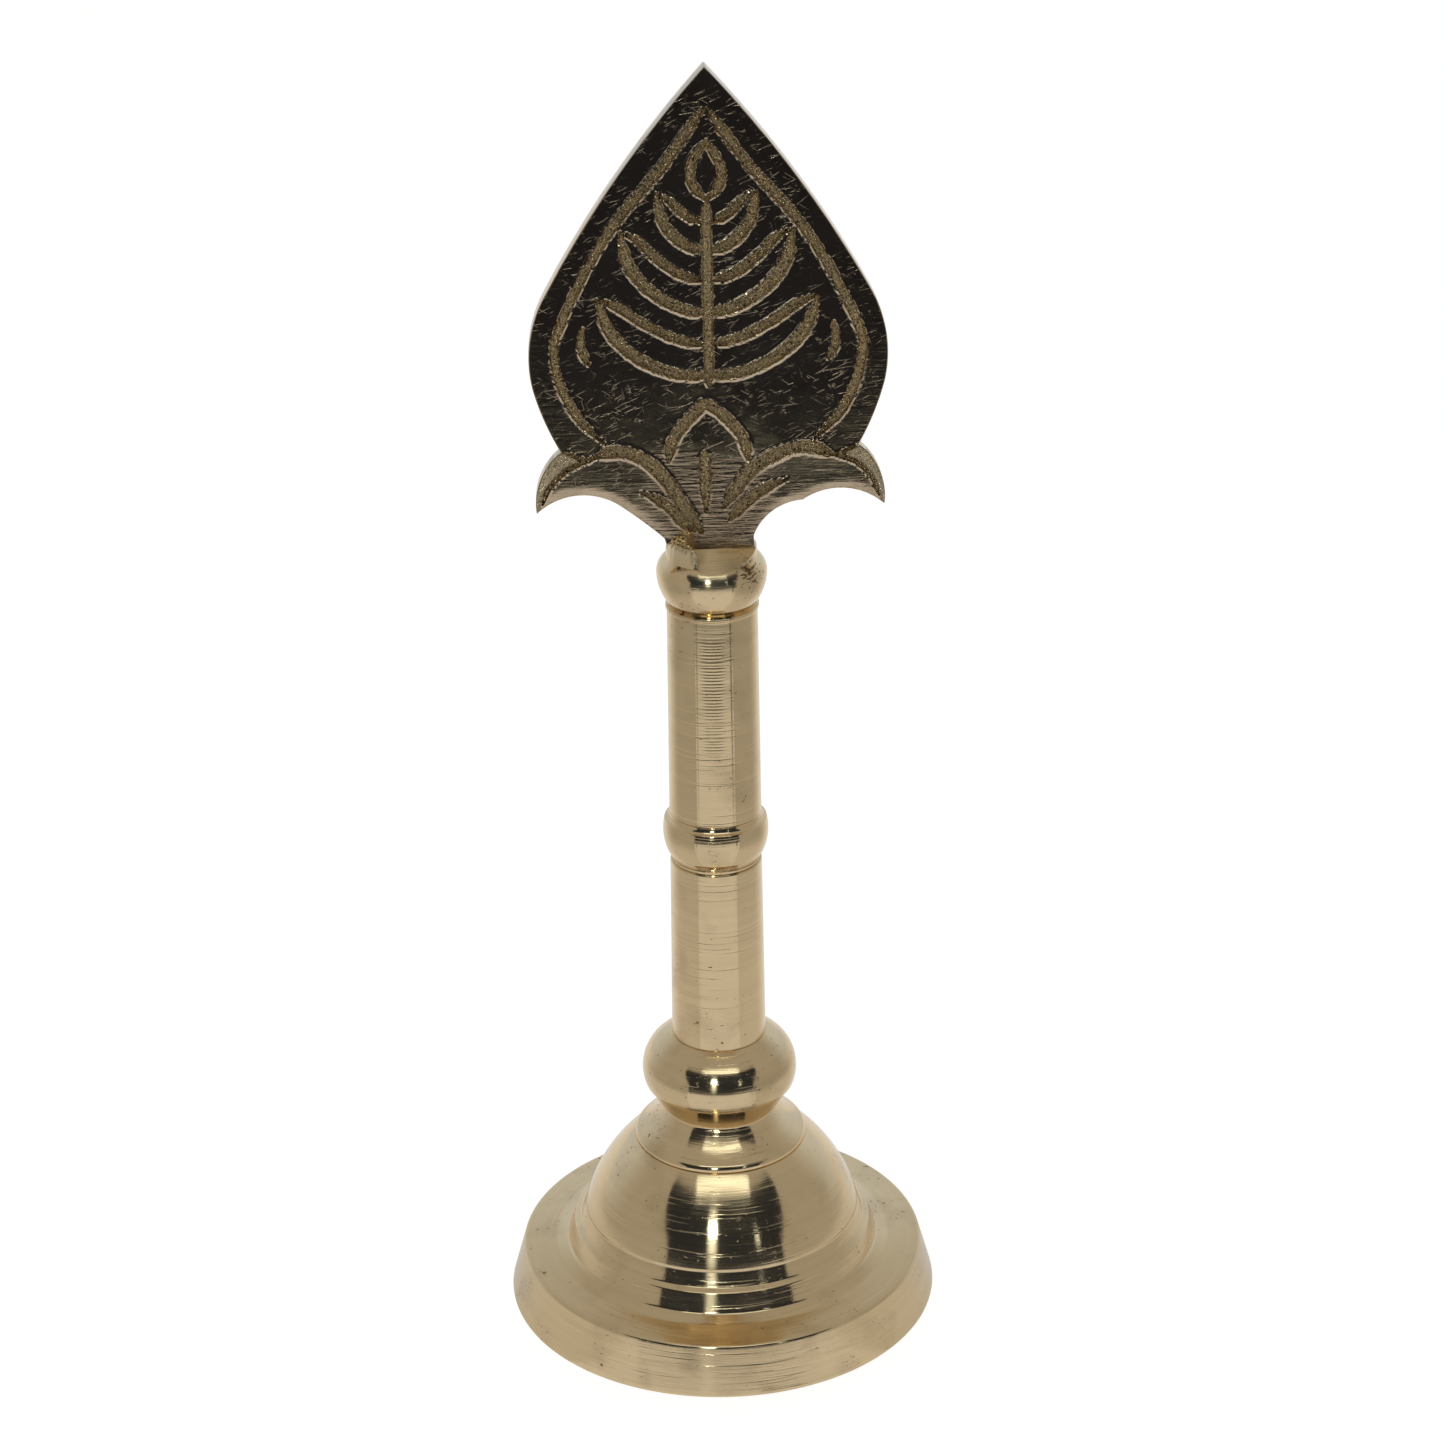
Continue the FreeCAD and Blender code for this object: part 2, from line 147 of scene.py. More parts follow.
def arc_middle(start, end, bulge):
    """The middle of an arc that stands out by bulge to the right of the way."""
    across, along = end[0] - start[0], end[1] - start[1]
    chord = math.hypot(across, along)
    return ((start[0] + end[0]) / 2 + along * bulge / chord,
            (start[1] + end[1]) / 2 - across * bulge / chord)


def arc_points(start, middle, end, count):
    """Points on the arc through three points, both ends among them."""
    (ax, ay), (bx, by), (cx, cy) = start, middle, end
    double = 2 * (ax * (by - cy) + bx * (cy - ay) + cx * (ay - by))
    if abs(double) < 1e-9:
        return [(ax + (cx - ax) * i / count, ay + (cy - ay) * i / count)
                for i in range(count + 1)]
    squares = (ax * ax + ay * ay, bx * bx + by * by, cx * cx + cy * cy)
    ox = (squares[0] * (by - cy) + squares[1] * (cy - ay) + squares[2] * (ay - by)) / double
    oy = (squares[0] * (cx - bx) + squares[1] * (ax - cx) + squares[2] * (bx - ax)) / double
    radius = math.hypot(ax - ox, ay - oy)
    first = math.atan2(ay - oy, ax - ox)
    through = (math.atan2(by - oy, bx - ox) - first) % FULL_TURN
    last = (math.atan2(cy - oy, cx - ox) - first) % FULL_TURN
    if through > last:
        last -= FULL_TURN
    return [(ox + radius * math.cos(first + last * i / count),
             oy + radius * math.sin(first + last * i / count)) for i in range(count + 1)]


def trimmed(points, near, far):
    """A run of points, cut short by near at its start and far at its end."""
    spots = np.array(points)
    steps = np.hypot(*np.diff(spots, axis=0).T)
    along = np.concatenate([[0.0], np.cumsum(steps)])
    total = along[-1]
    near, far = min(near, 0.45 * total), min(far, 0.45 * total)
    keep = (along > near + 1e-6) & (along < total - far - 1e-6)
    places = np.concatenate([[near], along[keep], [total - far]])
    return [(float(np.interp(p, along, spots[:, 0])), float(np.interp(p, along, spots[:, 1])))
            for p in places]


def outline(corners, step):
    """A closed line through corners (x, y, rounding, arc). The arc leads on to
    the next corner: 0 for straight, a bulge to the right, or its middle point."""
    runs = []
    for index, (x, y, near, arc) in enumerate(corners):
        nx, ny, far, _ = corners[(index + 1) % len(corners)]
        span = math.hypot(nx - x, ny - y)
        count = max(1, math.ceil(span / step))
        if arc == 0:
            points = [(x + (nx - x) * i / count, y + (ny - y) * i / count)
                      for i in range(count + 1)]
        else:
            middle = arc if isinstance(arc, tuple) else arc_middle((x, y), (nx, ny), arc)
            points = arc_points((x, y), middle, (nx, ny), max(4, count))
        runs.append(trimmed(points, near, far))
    line = []
    for index, (x, y, rounding, _) in enumerate(corners):
        before, after = runs[index - 1][-1], runs[index][0]
        if rounding > 0:
            for i in range(1, 5):
                t = i / 5
                line.append(tuple((1 - t) ** 2 * before[k] + 2 * t * (1 - t) * (x, y)[k]
                                  + t * t * after[k] for k in range(2)))
            line.extend(runs[index])
        else:
            line.extend(runs[index][1:] if line else runs[index])
    clean = [line[0]]
    for spot in line[1:]:
        if math.hypot(spot[0] - clean[-1][0], spot[1] - clean[-1][1]) > 1e-3:
            clean.append(spot)
    if math.hypot(clean[0][0] - clean[-1][0], clean[0][1] - clean[-1][1]) < 1e-3:
        clean.pop()
    return clean


def put(tree, kind, inputs=None, **settings):
    """Adds a node with its settings; an input is a value or another's socket."""
    node = tree.nodes.new(kind)
    for name, value in settings.items():
        setattr(node, name, value)
    for key, value in (inputs or {}).items():
        if isinstance(value, bpy.types.NodeSocket):
            tree.links.new(value, node.inputs[key])
        else:
            node.inputs[key].default_value = value
    return node


def add_up(tree, start, shares):
    """A socket or a number, with each other socket added times its share."""
    for socket, share in shares:
        start = put(tree, "ShaderNodeMath", {0: socket, 1: share, 2: start},
                    operation="MULTIPLY_ADD").outputs[0]
    return start


def outward(mesh):
    """Turns a closed mesh's faces outwards if they point inwards."""
    work = bmesh.new()
    work.from_mesh(mesh)
    if work.calc_volume(signed=True) < 0:
        bmesh.ops.reverse_faces(work, faces=work.faces)
        work.to_mesh(mesh)
    work.free()


def mark_points(mesh, name, values):
    """Stores a number from 0 to 1 at each point, for the material to read."""
    data = mesh.attributes.new(name, "FLOAT", "POINT").data
    data.foreach_set("value", values.astype(np.float32))


def finished(obj, node):
    """Hands a finished piece to the frame in place of its plain solid."""
    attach(obj, "root")
    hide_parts(node)


def new_piece(name, mesh):
    obj = bpy.data.objects.new(name, mesh)
    bpy.context.scene.collection.objects.link(obj)
    return obj


# -------------------------------------------------------------- materials

def fresh_material(name):
    material = bpy.data.materials.new(name)
    material.use_nodes = True
    tree = material.node_tree
    tree.nodes.clear()
    output = tree.nodes.new("ShaderNodeOutputMaterial")
    shader = tree.nodes.new("ShaderNodeBsdfPrincipled")
    tree.links.new(shader.outputs["BSDF"], output.inputs["Surface"])
    return material, tree, shader


def turned_brass():
    """Brass turned on a lathe and polished: fine lines run round the axis, so
    lights smear across them, up and down the piece. Brown pits lie in rows
    along the lines. Filed places, marked by an attribute, are duller."""
    material, tree, shader = fresh_material("turned_polished_brass")
    colours = bpy.context.scene.leafstand_colours
    place = put(tree, "ShaderNodeTexCoord").outputs["Object"]
    filed, pitted = (put(tree, "ShaderNodeAttribute", attribute_name=name).outputs["Fac"]
                     for name in ("filed", "pitted"))
    parts = put(tree, "ShaderNodeSeparateXYZ", {"Vector": place}).outputs
    flat = put(tree, "ShaderNodeCombineXYZ", {"X": parts["X"], "Y": parts["Y"]}).outputs[0]
    # Noise that is stretched forty times round the axis makes rings.
    radius = put(tree, "ShaderNodeVectorMath", {0: flat}, operation="LENGTH")
    along = put(tree, "ShaderNodeMath", {0: parts["Z"], 1: radius.outputs["Value"]},
                operation="SUBTRACT").outputs[0]
    sideways = put(tree, "ShaderNodeVectorMath", {0: flat, 1: (0.025, 0.025, 0.0)},
                   operation="MULTIPLY").outputs[0]
    lift = put(tree, "ShaderNodeCombineXYZ", {"Z": along}).outputs[0]
    ringwise = put(tree, "ShaderNodeVectorMath", {0: sideways, 1: lift},
                   operation="ADD").outputs[0]
    # Tool lines about 0.25 mm apart, coarser than the real ones so that they
    # show, bands about 1.7 mm apart, and single deeper lines 0.1 mm wide.
    lines, broad, deep = (
        put(tree, "ShaderNodeTexNoise",
            {"Vector": ringwise, "Scale": 1 / (spacing * MM), "Detail": detail,
             "Roughness": roughness}).outputs["Fac"]
        for spacing, detail, roughness in ((0.25, 2.0, 0.6), (1.7, 2.0, 0.5),
                                           (0.36, 1.0, 0.5)))
    scored = put(tree, "ShaderNodeMapRange", {"Value": deep, "From Min": 0.62,
                                              "From Max": 0.72}).outputs[0]
    # Pits 0.2 to 0.5 mm long in rows, crowded in patches about 7 mm across.
    in_rows = put(tree, "ShaderNodeVectorMath", {0: place, 1: (0.4, 0.4, 1.0)},
                  operation="MULTIPLY").outputs[0]
    pits = put(tree, "ShaderNodeTexNoise",
               {"Vector": in_rows, "Scale": 1 / (0.32 * MM), "Detail": 3.0,
                "Roughness": 0.6}).outputs["Fac"]
    patches = put(tree, "ShaderNodeTexNoise",
                  {"Vector": place, "Scale": 1 / (7 * MM), "Detail": 2.0}).outputs["Fac"]
    crowd = put(tree, "ShaderNodeMapRange", {"Value": patches, "From Min": 0.45,
                                             "From Max": 0.75, "To Max": 0.09}).outputs[0]
    deeper = add_up(tree, pits, [(crowd, 1.0), (pitted, 0.16)])
    spotted = put(tree, "ShaderNodeMapRange", {"Value": deeper, "From Min": 0.70,
                                               "From Max": 0.745}).outputs[0]
    # A brown tone along the bands, and a dull haze where the pits crowd.
    tone = put(tree, "ShaderNodeMapRange", {"Value": broad, "From Min": 0.3,
                                            "From Max": 0.7, "To Max": 0.08}).outputs[0]
    haze = put(tree, "ShaderNodeMapRange", {"Value": patches, "From Min": 0.5,
                                            "From Max": 0.8, "To Max": 0.22}).outputs[0]
    shade = add_up(tree, tone, [(haze, 1.0), (spotted, 0.75)])
    colour = put(tree, "ShaderNodeMix", {"Factor": shade}, data_type="RGBA")
    mix_colours(colour, colours.brass, colours.brass_deep)
    dulled = put(tree, "ShaderNodeMath", {0: filed, 1: 0.8}, operation="MULTIPLY").outputs[0]
    colour_all = put(tree, "ShaderNodeMix", {"Factor": dulled}, data_type="RGBA")
    tree.links.new(colour.outputs["Result"], colour_all.inputs["A"])
    colour_all.inputs["B"].default_value = (*colours.stroke, 1)
    rough = put(tree, "ShaderNodeMapRange", {"Value": lines, "From Min": 0.3,
                                             "From Max": 0.7, "To Min": 0.08,
                                             "To Max": 0.15}).outputs[0]
    rough = add_up(tree, rough, [(haze, 0.35), (spotted, 0.25), (filed, 0.24)])
    # File strokes 0.3 mm apart that run level across the filed places.
    level_place = put(tree, "ShaderNodeVectorMath", {0: place, 1: (0.1, 1.0, 1.0)},
                      operation="MULTIPLY").outputs[0]
    strokes = put(tree, "ShaderNodeTexNoise",
                  {"Vector": level_place, "Scale": 1 / (0.4 * MM), "Detail": 2.0}).outputs["Fac"]
    strokes = put(tree, "ShaderNodeMath", {0: strokes, 1: filed},
                  operation="MULTIPLY").outputs[0]
    chatter = chatter_marks(tree, parts, broad)
    height = add_up(tree, lines, [(broad, 2.0), (scored, -1.6), (spotted, -2.0),
                                  (strokes, 9.0), (chatter, 0.75)])
    bump = put(tree, "ShaderNodeBump", {"Height": height, "Distance": 0.008 * MM})
    # The tangent runs round the axis; the quarter turn smears lights across it.
    back = put(tree, "ShaderNodeMath", {0: parts["Y"], 1: -1.0},
               operation="MULTIPLY").outputs[0]
    round_axis = put(tree, "ShaderNodeCombineXYZ", {"X": back, "Y": parts["X"]}).outputs[0]
    tangent = put(tree, "ShaderNodeVectorMath", {0: round_axis},
                  operation="NORMALIZE").outputs[0]
    shader.inputs["Metallic"].default_value = 1.0
    shader.inputs["Anisotropic"].default_value = 0.9
    shader.inputs["Anisotropic Rotation"].default_value = 0.25
    for name, socket in (("Base Color", colour_all.outputs["Result"]),
                         ("Roughness", rough), ("Normal", bump.outputs["Normal"]),
                         ("Tangent", tangent)):
        tree.links.new(socket, shader.inputs[name])
    return material


def chatter_marks(tree, parts, uneven):
    """Ripples half a millimetre apart that the tool left on the front of the
    upper shaft, below its top end, between -1 and 1."""
    masks = []
    # They begin 24 to 19 mm below the shaft's top and end 4 to 2 mm below it.
    for none, full in ((-24, -19), (-2, -4)):
        masks.append(put(tree, "ShaderNodeMapRange",
                         {"Value": parts["Z"], "From Min": (UPPER_COLUMN_TOP + none) * MM,
                          "From Max": (UPPER_COLUMN_TOP + full) * MM},
                         interpolation_type="SMOOTHSTEP").outputs[0])
    off_middle = put(tree, "ShaderNodeMath", {0: parts["X"], 1: 0.3 * MM},
                     operation="ADD").outputs[0]
    off_middle = put(tree, "ShaderNodeMath", {0: off_middle},
                     operation="ABSOLUTE").outputs[0]
    masks.append(put(tree, "ShaderNodeMapRange",
                     {"Value": off_middle, "From Min": 2.3 * MM, "From Max": 0.5 * MM},
                     interpolation_type="SMOOTHSTEP").outputs[0])
    masks.append(put(tree, "ShaderNodeMath", {0: parts["Y"], 1: 0.0},
                     operation="LESS_THAN").outputs[0])
    phase = put(tree, "ShaderNodeMath", {0: uneven, 1: 7.0}, operation="MULTIPLY").outputs[0]
    phase = add_up(tree, phase, [(parts["Z"], FULL_TURN / (0.48 * MM))])
    marks = put(tree, "ShaderNodeMath", {0: phase}, operation="SINE").outputs[0]
    for mask in masks:
        marks = put(tree, "ShaderNodeMath", {0: marks, 1: mask},
                    operation="MULTIPLY").outputs[0]
    return marks


def mix_colours(node, first, second):
    node.inputs["A"].default_value = (*first, 1)
    node.inputs["B"].default_value = (*second, 1)


def engraved_brass():
    """Brass plate filed and rubbed smooth, darkened with age: it mirrors its
    surroundings through many small scratches. The engraved strokes have rough
    glittering floors, and the foot of the leaf keeps its coarse file lines."""
    material, tree, shader = fresh_material("filed_engraved_brass")
    colours = bpy.context.scene.leafstand_colours
    place = put(tree, "ShaderNodeTexCoord").outputs["Object"]
    cut, filed = (put(tree, "ShaderNodeAttribute", attribute_name=name).outputs["Fac"]
                  for name in ("cut", "filed"))
    # Scratches 0.1 to 0.2 mm wide and up to 5 mm long, laid several ways: the
    # angle in degrees, the spacing in millimetres and the noise they start at.
    scratches = 0.0
    for angle, spacing, least in ((-24, 0.30, 0.665), (-38, 0.42, 0.68), (31, 0.36, 0.68),
                                  (-8, 0.33, 0.69), (74, 0.45, 0.70)):
        way = put(tree, "ShaderNodeMapping",
                  {"Vector": place, "Location": (angle * MM, 0, spacing),
                   "Rotation": (0, math.radians(angle), 0), "Scale": (13, 1, 1)},
                  vector_type="TEXTURE")
        noise = put(tree, "ShaderNodeTexNoise",
                    {"Vector": way.outputs[0], "Scale": 1 / (spacing * 0.7 * MM),
                     "Detail": 1.5}).outputs["Fac"]
        mask = put(tree, "ShaderNodeMapRange", {"Value": noise, "From Min": least,
                                                "From Max": least + 0.05}).outputs[0]
        scratches = put(tree, "ShaderNodeMath", {0: mask, 1: scratches},
                        operation="MAXIMUM").outputs[0]
    # Worn places where the scratches crowd, about 5 mm across.
    wear = put(tree, "ShaderNodeTexNoise", {"Vector": place, "Scale": 1 / (5 * MM),
                                            "Detail": 3.0}).outputs["Fac"]
    worn = put(tree, "ShaderNodeMapRange", {"Value": wear, "From Min": 0.42,
                                            "From Max": 0.6, "To Min": 0.25}).outputs[0]
    # Small rubbed marks with ragged rims, half a millimetre across.
    rubs = put(tree, "ShaderNodeTexNoise", {"Vector": place, "Scale": 1 / (1.1 * MM),
                                            "Detail": 6.0, "Roughness": 0.75}).outputs["Fac"]
    rubbed = put(tree, "ShaderNodeMapRange", {"Value": rubs, "From Min": 0.61,
                                              "From Max": 0.70}).outputs[0]
    # File lines 0.3 mm apart that run level across the leaf's foot.
    level_place = put(tree, "ShaderNodeVectorMath", {0: place, 1: (0.08, 1.0, 1.0)},
                      operation="MULTIPLY").outputs[0]
    file_noise = put(tree, "ShaderNodeTexNoise",
                     {"Vector": level_place, "Scale": 1 / (0.5 * MM), "Detail": 3.0,
                      "Roughness": 0.6}).outputs["Fac"]
    # Grains about 0.25 mm across on the floors of the strokes.
    grain = put(tree, "ShaderNodeTexNoise", {"Vector": place, "Scale": 1 / (0.3 * MM),
                                             "Detail": 3.0, "Roughness": 0.7}).outputs["Fac"]
    scratched, rubbed, file_lines, grainy = (
        put(tree, "ShaderNodeMath", {0: mark, 1: where}, operation="MULTIPLY").outputs[0]
        for mark, where in ((scratches, worn), (rubbed, worn), (file_noise, filed),
                            (grain, cut)))
    rise = add_up(tree, rubs, [(scratched, -0.9), (rubbed, -1.2), (file_lines, 9.0),
                               (grainy, 62.0)])
    bump = put(tree, "ShaderNodeBump", {"Height": rise, "Distance": 0.01 * MM})
    rough = add_up(tree, 0.09, [(scratched, 0.2), (rubbed, 0.25), (filed, 0.05),
                                (cut, 0.13)])
    shade = put(tree, "ShaderNodeMapRange", {"Value": wear, "From Min": 0.35,
                                             "From Max": 0.75, "To Max": 0.25}).outputs[0]
    shade = add_up(tree, shade, [(filed, 0.35)])
    colour = put(tree, "ShaderNodeMix", {"Factor": shade}, data_type="RGBA")
    mix_colours(colour, colours.leaf, colours.brass_deep)
    dirt = put(tree, "ShaderNodeMapRange", {"Value": grain, "From Min": 0.50,
                                            "From Max": 0.34}).outputs[0]
    floors = put(tree, "ShaderNodeMix", {"Factor": dirt}, data_type="RGBA")
    mix_colours(floors, colours.stroke, [0.35 * v for v in colours.brass_deep])
    both = put(tree, "ShaderNodeMix", {"Factor": cut}, data_type="RGBA")
    tree.links.new(colour.outputs["Result"], both.inputs["A"])
    tree.links.new(floors.outputs["Result"], both.inputs["B"])
    shader.inputs["Metallic"].default_value = 1.0
    for name, socket in (("Base Color", both.outputs["Result"]), ("Roughness", rough),
                         ("Normal", bump.outputs["Normal"])):
        tree.links.new(socket, shader.inputs[name])
    return material


def plated_steel():
    """Steel with a thin bright zinc coat: pale grey, softly cloudy."""
    material, tree, shader = fresh_material("zinc_plated_steel")
    place = put(tree, "ShaderNodeTexCoord").outputs["Object"]
    clouds = put(tree, "ShaderNodeTexNoise", {"Vector": place, "Scale": 1 / (1.2 * MM),
                                              "Detail": 4.0})
    rough = put(tree, "ShaderNodeMapRange", {"Value": clouds.outputs["Fac"],
                                             "To Min": 0.22, "To Max": 0.48})
    bump = put(tree, "ShaderNodeBump", {"Height": clouds.outputs["Fac"],
                                        "Distance": 0.003 * MM})
    steel = bpy.context.scene.leafstand_colours.steel
    shader.inputs["Base Color"].default_value = (*steel, 1)
    shader.inputs["Metallic"].default_value = 1.0
    tree.links.new(rough.outputs[0], shader.inputs["Roughness"])
    tree.links.new(bump.outputs["Normal"], shader.inputs["Normal"])
    return material


def finish(name, maker):
    """A material by name, made the first time that a piece asks for it."""
    return bpy.data.materials.get(name) or maker()


# ------------------------------------------------------------------ lathe

def lathe_tree():
    """Turns a half section, given as points with x for the radius, round the
    axis, with slow waves up the piece as a hand-held tool leaves."""
    tree = bpy.data.node_groups.get("lathe")
    if tree:
        return tree
    tree = bpy.data.node_groups.new("lathe", "GeometryNodeTree")
    face = tree.interface
    face.new_socket("Geometry", in_out="OUTPUT", socket_type="NodeSocketGeometry")
    for name, kind in (("Section", "Geometry"), ("Segments", "Int"), ("Waviness", "Float"),
                       ("Wave pitch", "Float"), ("Thread pitch", "Float"),
                       ("Thread depth", "Float"), ("Seed", "Float"),
                       ("Finish", "Material")):
        face.new_socket(name, in_out="INPUT", socket_type="NodeSocket" + kind)
    given = put(tree, "NodeGroupInput").outputs
    count = put(tree, "GeometryNodeAttributeDomainSize",
                {"Geometry": given["Section"]}).outputs["Point Count"]
    columns = put(tree, "ShaderNodeMath", {0: given["Segments"], 1: 1.0},
                  operation="ADD").outputs[0]
    grid = put(tree, "GeometryNodeMeshGrid", {"Vertices X": count, "Vertices Y": columns})
    index = put(tree, "GeometryNodeInputIndex").outputs[0]
    share = put(tree, "ShaderNodeMath", {0: index, 1: columns}, operation="DIVIDE").outputs[0]
    row = put(tree, "ShaderNodeMath", {0: share}, operation="FLOOR").outputs[0]
    before = put(tree, "ShaderNodeMath", {0: row, 1: columns}, operation="MULTIPLY").outputs[0]
    column = put(tree, "ShaderNodeMath", {0: index, 1: before},
                 operation="SUBTRACT").outputs[0]
    turn = put(tree, "ShaderNodeMath", {0: column, 1: given["Segments"]},
               operation="DIVIDE").outputs[0]
    angle = put(tree, "ShaderNodeMath", {0: turn, 1: FULL_TURN},
                operation="MULTIPLY").outputs[0]
    place = put(tree, "GeometryNodeInputPosition").outputs[0]
    sample = put(tree, "GeometryNodeSampleIndex",
                 {"Geometry": given["Section"], "Index": row}, data_type="FLOAT_VECTOR")
    tree.links.new(place, sample.inputs["Value"])
    spot = put(tree, "ShaderNodeSeparateXYZ", {"Vector": sample.outputs[0]}).outputs
    along = put(tree, "ShaderNodeMath", {0: spot["X"], 1: spot["Z"]},
                operation="ADD").outputs[0]
    step = put(tree, "ShaderNodeMath", {0: along, 1: given["Wave pitch"]},
               operation="DIVIDE").outputs[0]
    shifted = put(tree, "ShaderNodeMath", {0: step, 1: given["Seed"]},
                  operation="ADD").outputs[0]
    waves = put(tree, "ShaderNodeTexNoise", {"W": shifted, "Scale": 1.0, "Detail": 2.0},
                noise_dimensions="1D")
    even = put(tree, "ShaderNodeMath", {0: waves.outputs["Fac"], 1: 0.62},
               operation="SUBTRACT").outputs[0]
    wave = put(tree, "ShaderNodeMath", {0: even, 1: given["Waviness"]},
               operation="MULTIPLY").outputs[0]
    # A thread's depth rises and falls once in each pitch, a full turn later
    # one pitch higher. The section's y marks where it is cut, from 0 to 1.
    climb = put(tree, "ShaderNodeMath", {0: spot["Z"], 1: given["Thread pitch"]},
                operation="DIVIDE").outputs[0]
    phase = put(tree, "ShaderNodeMath", {0: climb, 1: turn}, operation="SUBTRACT").outputs[0]
    groove = put(tree, "ShaderNodeMath", {0: phase, 1: 0.5}, operation="PINGPONG").outputs[0]
    for factor in (given["Thread depth"], 2.0, spot["Y"]):
        groove = put(tree, "ShaderNodeMath", {0: groove, 1: factor},
                     operation="MULTIPLY").outputs[0]
    radius = put(tree, "ShaderNodeMath", {0: spot["X"], 1: wave}, operation="ADD").outputs[0]
    radius = put(tree, "ShaderNodeMath", {0: radius, 1: groove},
                 operation="SUBTRACT").outputs[0]
    on_axis = put(tree, "ShaderNodeMath", {0: spot["X"], 1: 1e-6},
                  operation="GREATER_THAN").outputs[0]
    radius = put(tree, "ShaderNodeMath", {0: radius, 1: on_axis},
                 operation="MULTIPLY").outputs[0]
    goal = put(tree, "ShaderNodeCombineXYZ", {"Z": spot["Z"]})
    for axis, wave_kind in (("X", "COSINE"), ("Y", "SINE")):
        unit = put(tree, "ShaderNodeMath", {0: angle}, operation=wave_kind).outputs[0]
        part = put(tree, "ShaderNodeMath", {0: radius, 1: unit}, operation="MULTIPLY")
        tree.links.new(part.outputs[0], goal.inputs[axis])
    moved = put(tree, "GeometryNodeSetPosition",
                {"Geometry": grid.outputs["Mesh"],
                 "Position": goal.outputs[0]}).outputs[0]
    welded = put(tree, "GeometryNodeMergeByDistance",
                 {"Geometry": moved, "Distance": 0.002 * MM}).outputs[0]
    smooth = put(tree, "GeometryNodeSetShadeSmooth", {"Geometry": welded}).outputs[0]
    real = put(tree, "GeometryNodeRealizeInstances", {"Geometry": smooth}).outputs[0]
    dressed = put(tree, "GeometryNodeSetMaterial", {"Geometry": real,
                                                    "Material": given["Finish"]}).outputs[0]
    put(tree, "NodeGroupOutput", {"Geometry": dressed})
    return tree


def turned(name, node, corners, seed, material, step=0.25, waviness=None,
           segments=None, thread=None):
    """Turns one closed half section into a finished piece. A thread is given
    as its lowest and highest level and the radius outside which it is cut."""
    sizes = bpy.context.scene.leafstand_turned
    line = outline(corners, step)
    line.append(line[0])
    marks = [1.0 if thread and thread[0] <= z <= thread[1] and r > thread[2] else 0.0
             for r, z in line]
    mesh = bpy.data.meshes.new(name + "_section")
    mesh.from_pydata([(r * MM, mark, z * MM) for (r, z), mark in zip(line, marks)], [], [])
    obj = new_piece(name, mesh)
    modifier = obj.modifiers.new("lathe", "NODES")
    modifier.node_group = lathe_tree()
    screw = bpy.context.scene.leafstand_thread
    wanted = {
        "Segments": segments or sizes.segments,
        "Waviness": sizes.waviness if waviness is None else waviness * MM,
        "Wave pitch": sizes.wave_pitch,
        "Thread pitch": screw.pitch,
        "Thread depth": screw.depth,
        "Seed": float(seed),
        "Finish": material,
    }
    for item in modifier.node_group.interface.items_tree:
        if item.item_type == "SOCKET" and item.in_out == "INPUT" and item.name in wanted:
            modifier[item.identifier] = wanted[item.name]
    graph = bpy.context.evaluated_depsgraph_get()
    result = bpy.data.meshes.new_from_object(obj.evaluated_get(graph), depsgraph=graph)
    obj.modifiers.clear()
    obj.data = result
    result.name = name
    bpy.data.meshes.remove(mesh)
    if len(result.polygons) < 100:
        raise RuntimeError(name + " came out empty")
    outward(result)
    result.set_sharp_from_angle(angle=math.radians(38))
    finished(obj, node)
    return obj


class LEAFSTAND_OT_foot(bpy.types.Operator):
    """Turns the domed foot with its rim, moulding and hollow underside"""
    bl_idname = "leafstand.foot"
    bl_label = "Domed foot"

    def execute(self, context):
        sizes = context.scene.leafstand_turned
        edge = sizes.edge_rounding / MM
        rim = sizes.foot_radius / MM
        rim_top = sizes.rim_height / MM
        bulge = sizes.dome_bulge / MM
        dome_base = CROWN - 14.5
        under = CROWN - 3.0
        brim_under = rim_top - 3.2
        material = finish("turned_polished_brass", turned_brass)
        turned("domed_foot", "foot", [
            (rim, 0, 0.35, 0),
            (rim - 2.06, rim_top, edge, 0),
            (25.1, rim_top + 0.5, 0.3, 0),
            (23.25, rim_top + 1.1, 0.3, 0),
            (22.15, dome_base + 0.1, edge * 0.5, 0),
            (21.3, dome_base + 0.55, 0.2, 0),
            (20.42, dome_base + 2.6, 0.12, 0),
            (20.4, dome_base + 2.95, 0.1, bulge * 0.6),
            (12.7, CROWN, 0.15, 0),
            (5.1, CROWN, 0.1, 0),
            (5.1, under, 0.1, 0),
            (11.2, under, 0.6, -bulge),
            (18.3, dome_base - 3.0, 0.8, 0),
            (23.2, brim_under, 1.2, 0),
            (rim - 4.63, brim_under, 1.0, 0),
            (rim - 3.6, 0, 0.4, 0),
        ], 11, material, segments=288, step=0.3)
        return {"FINISHED"}


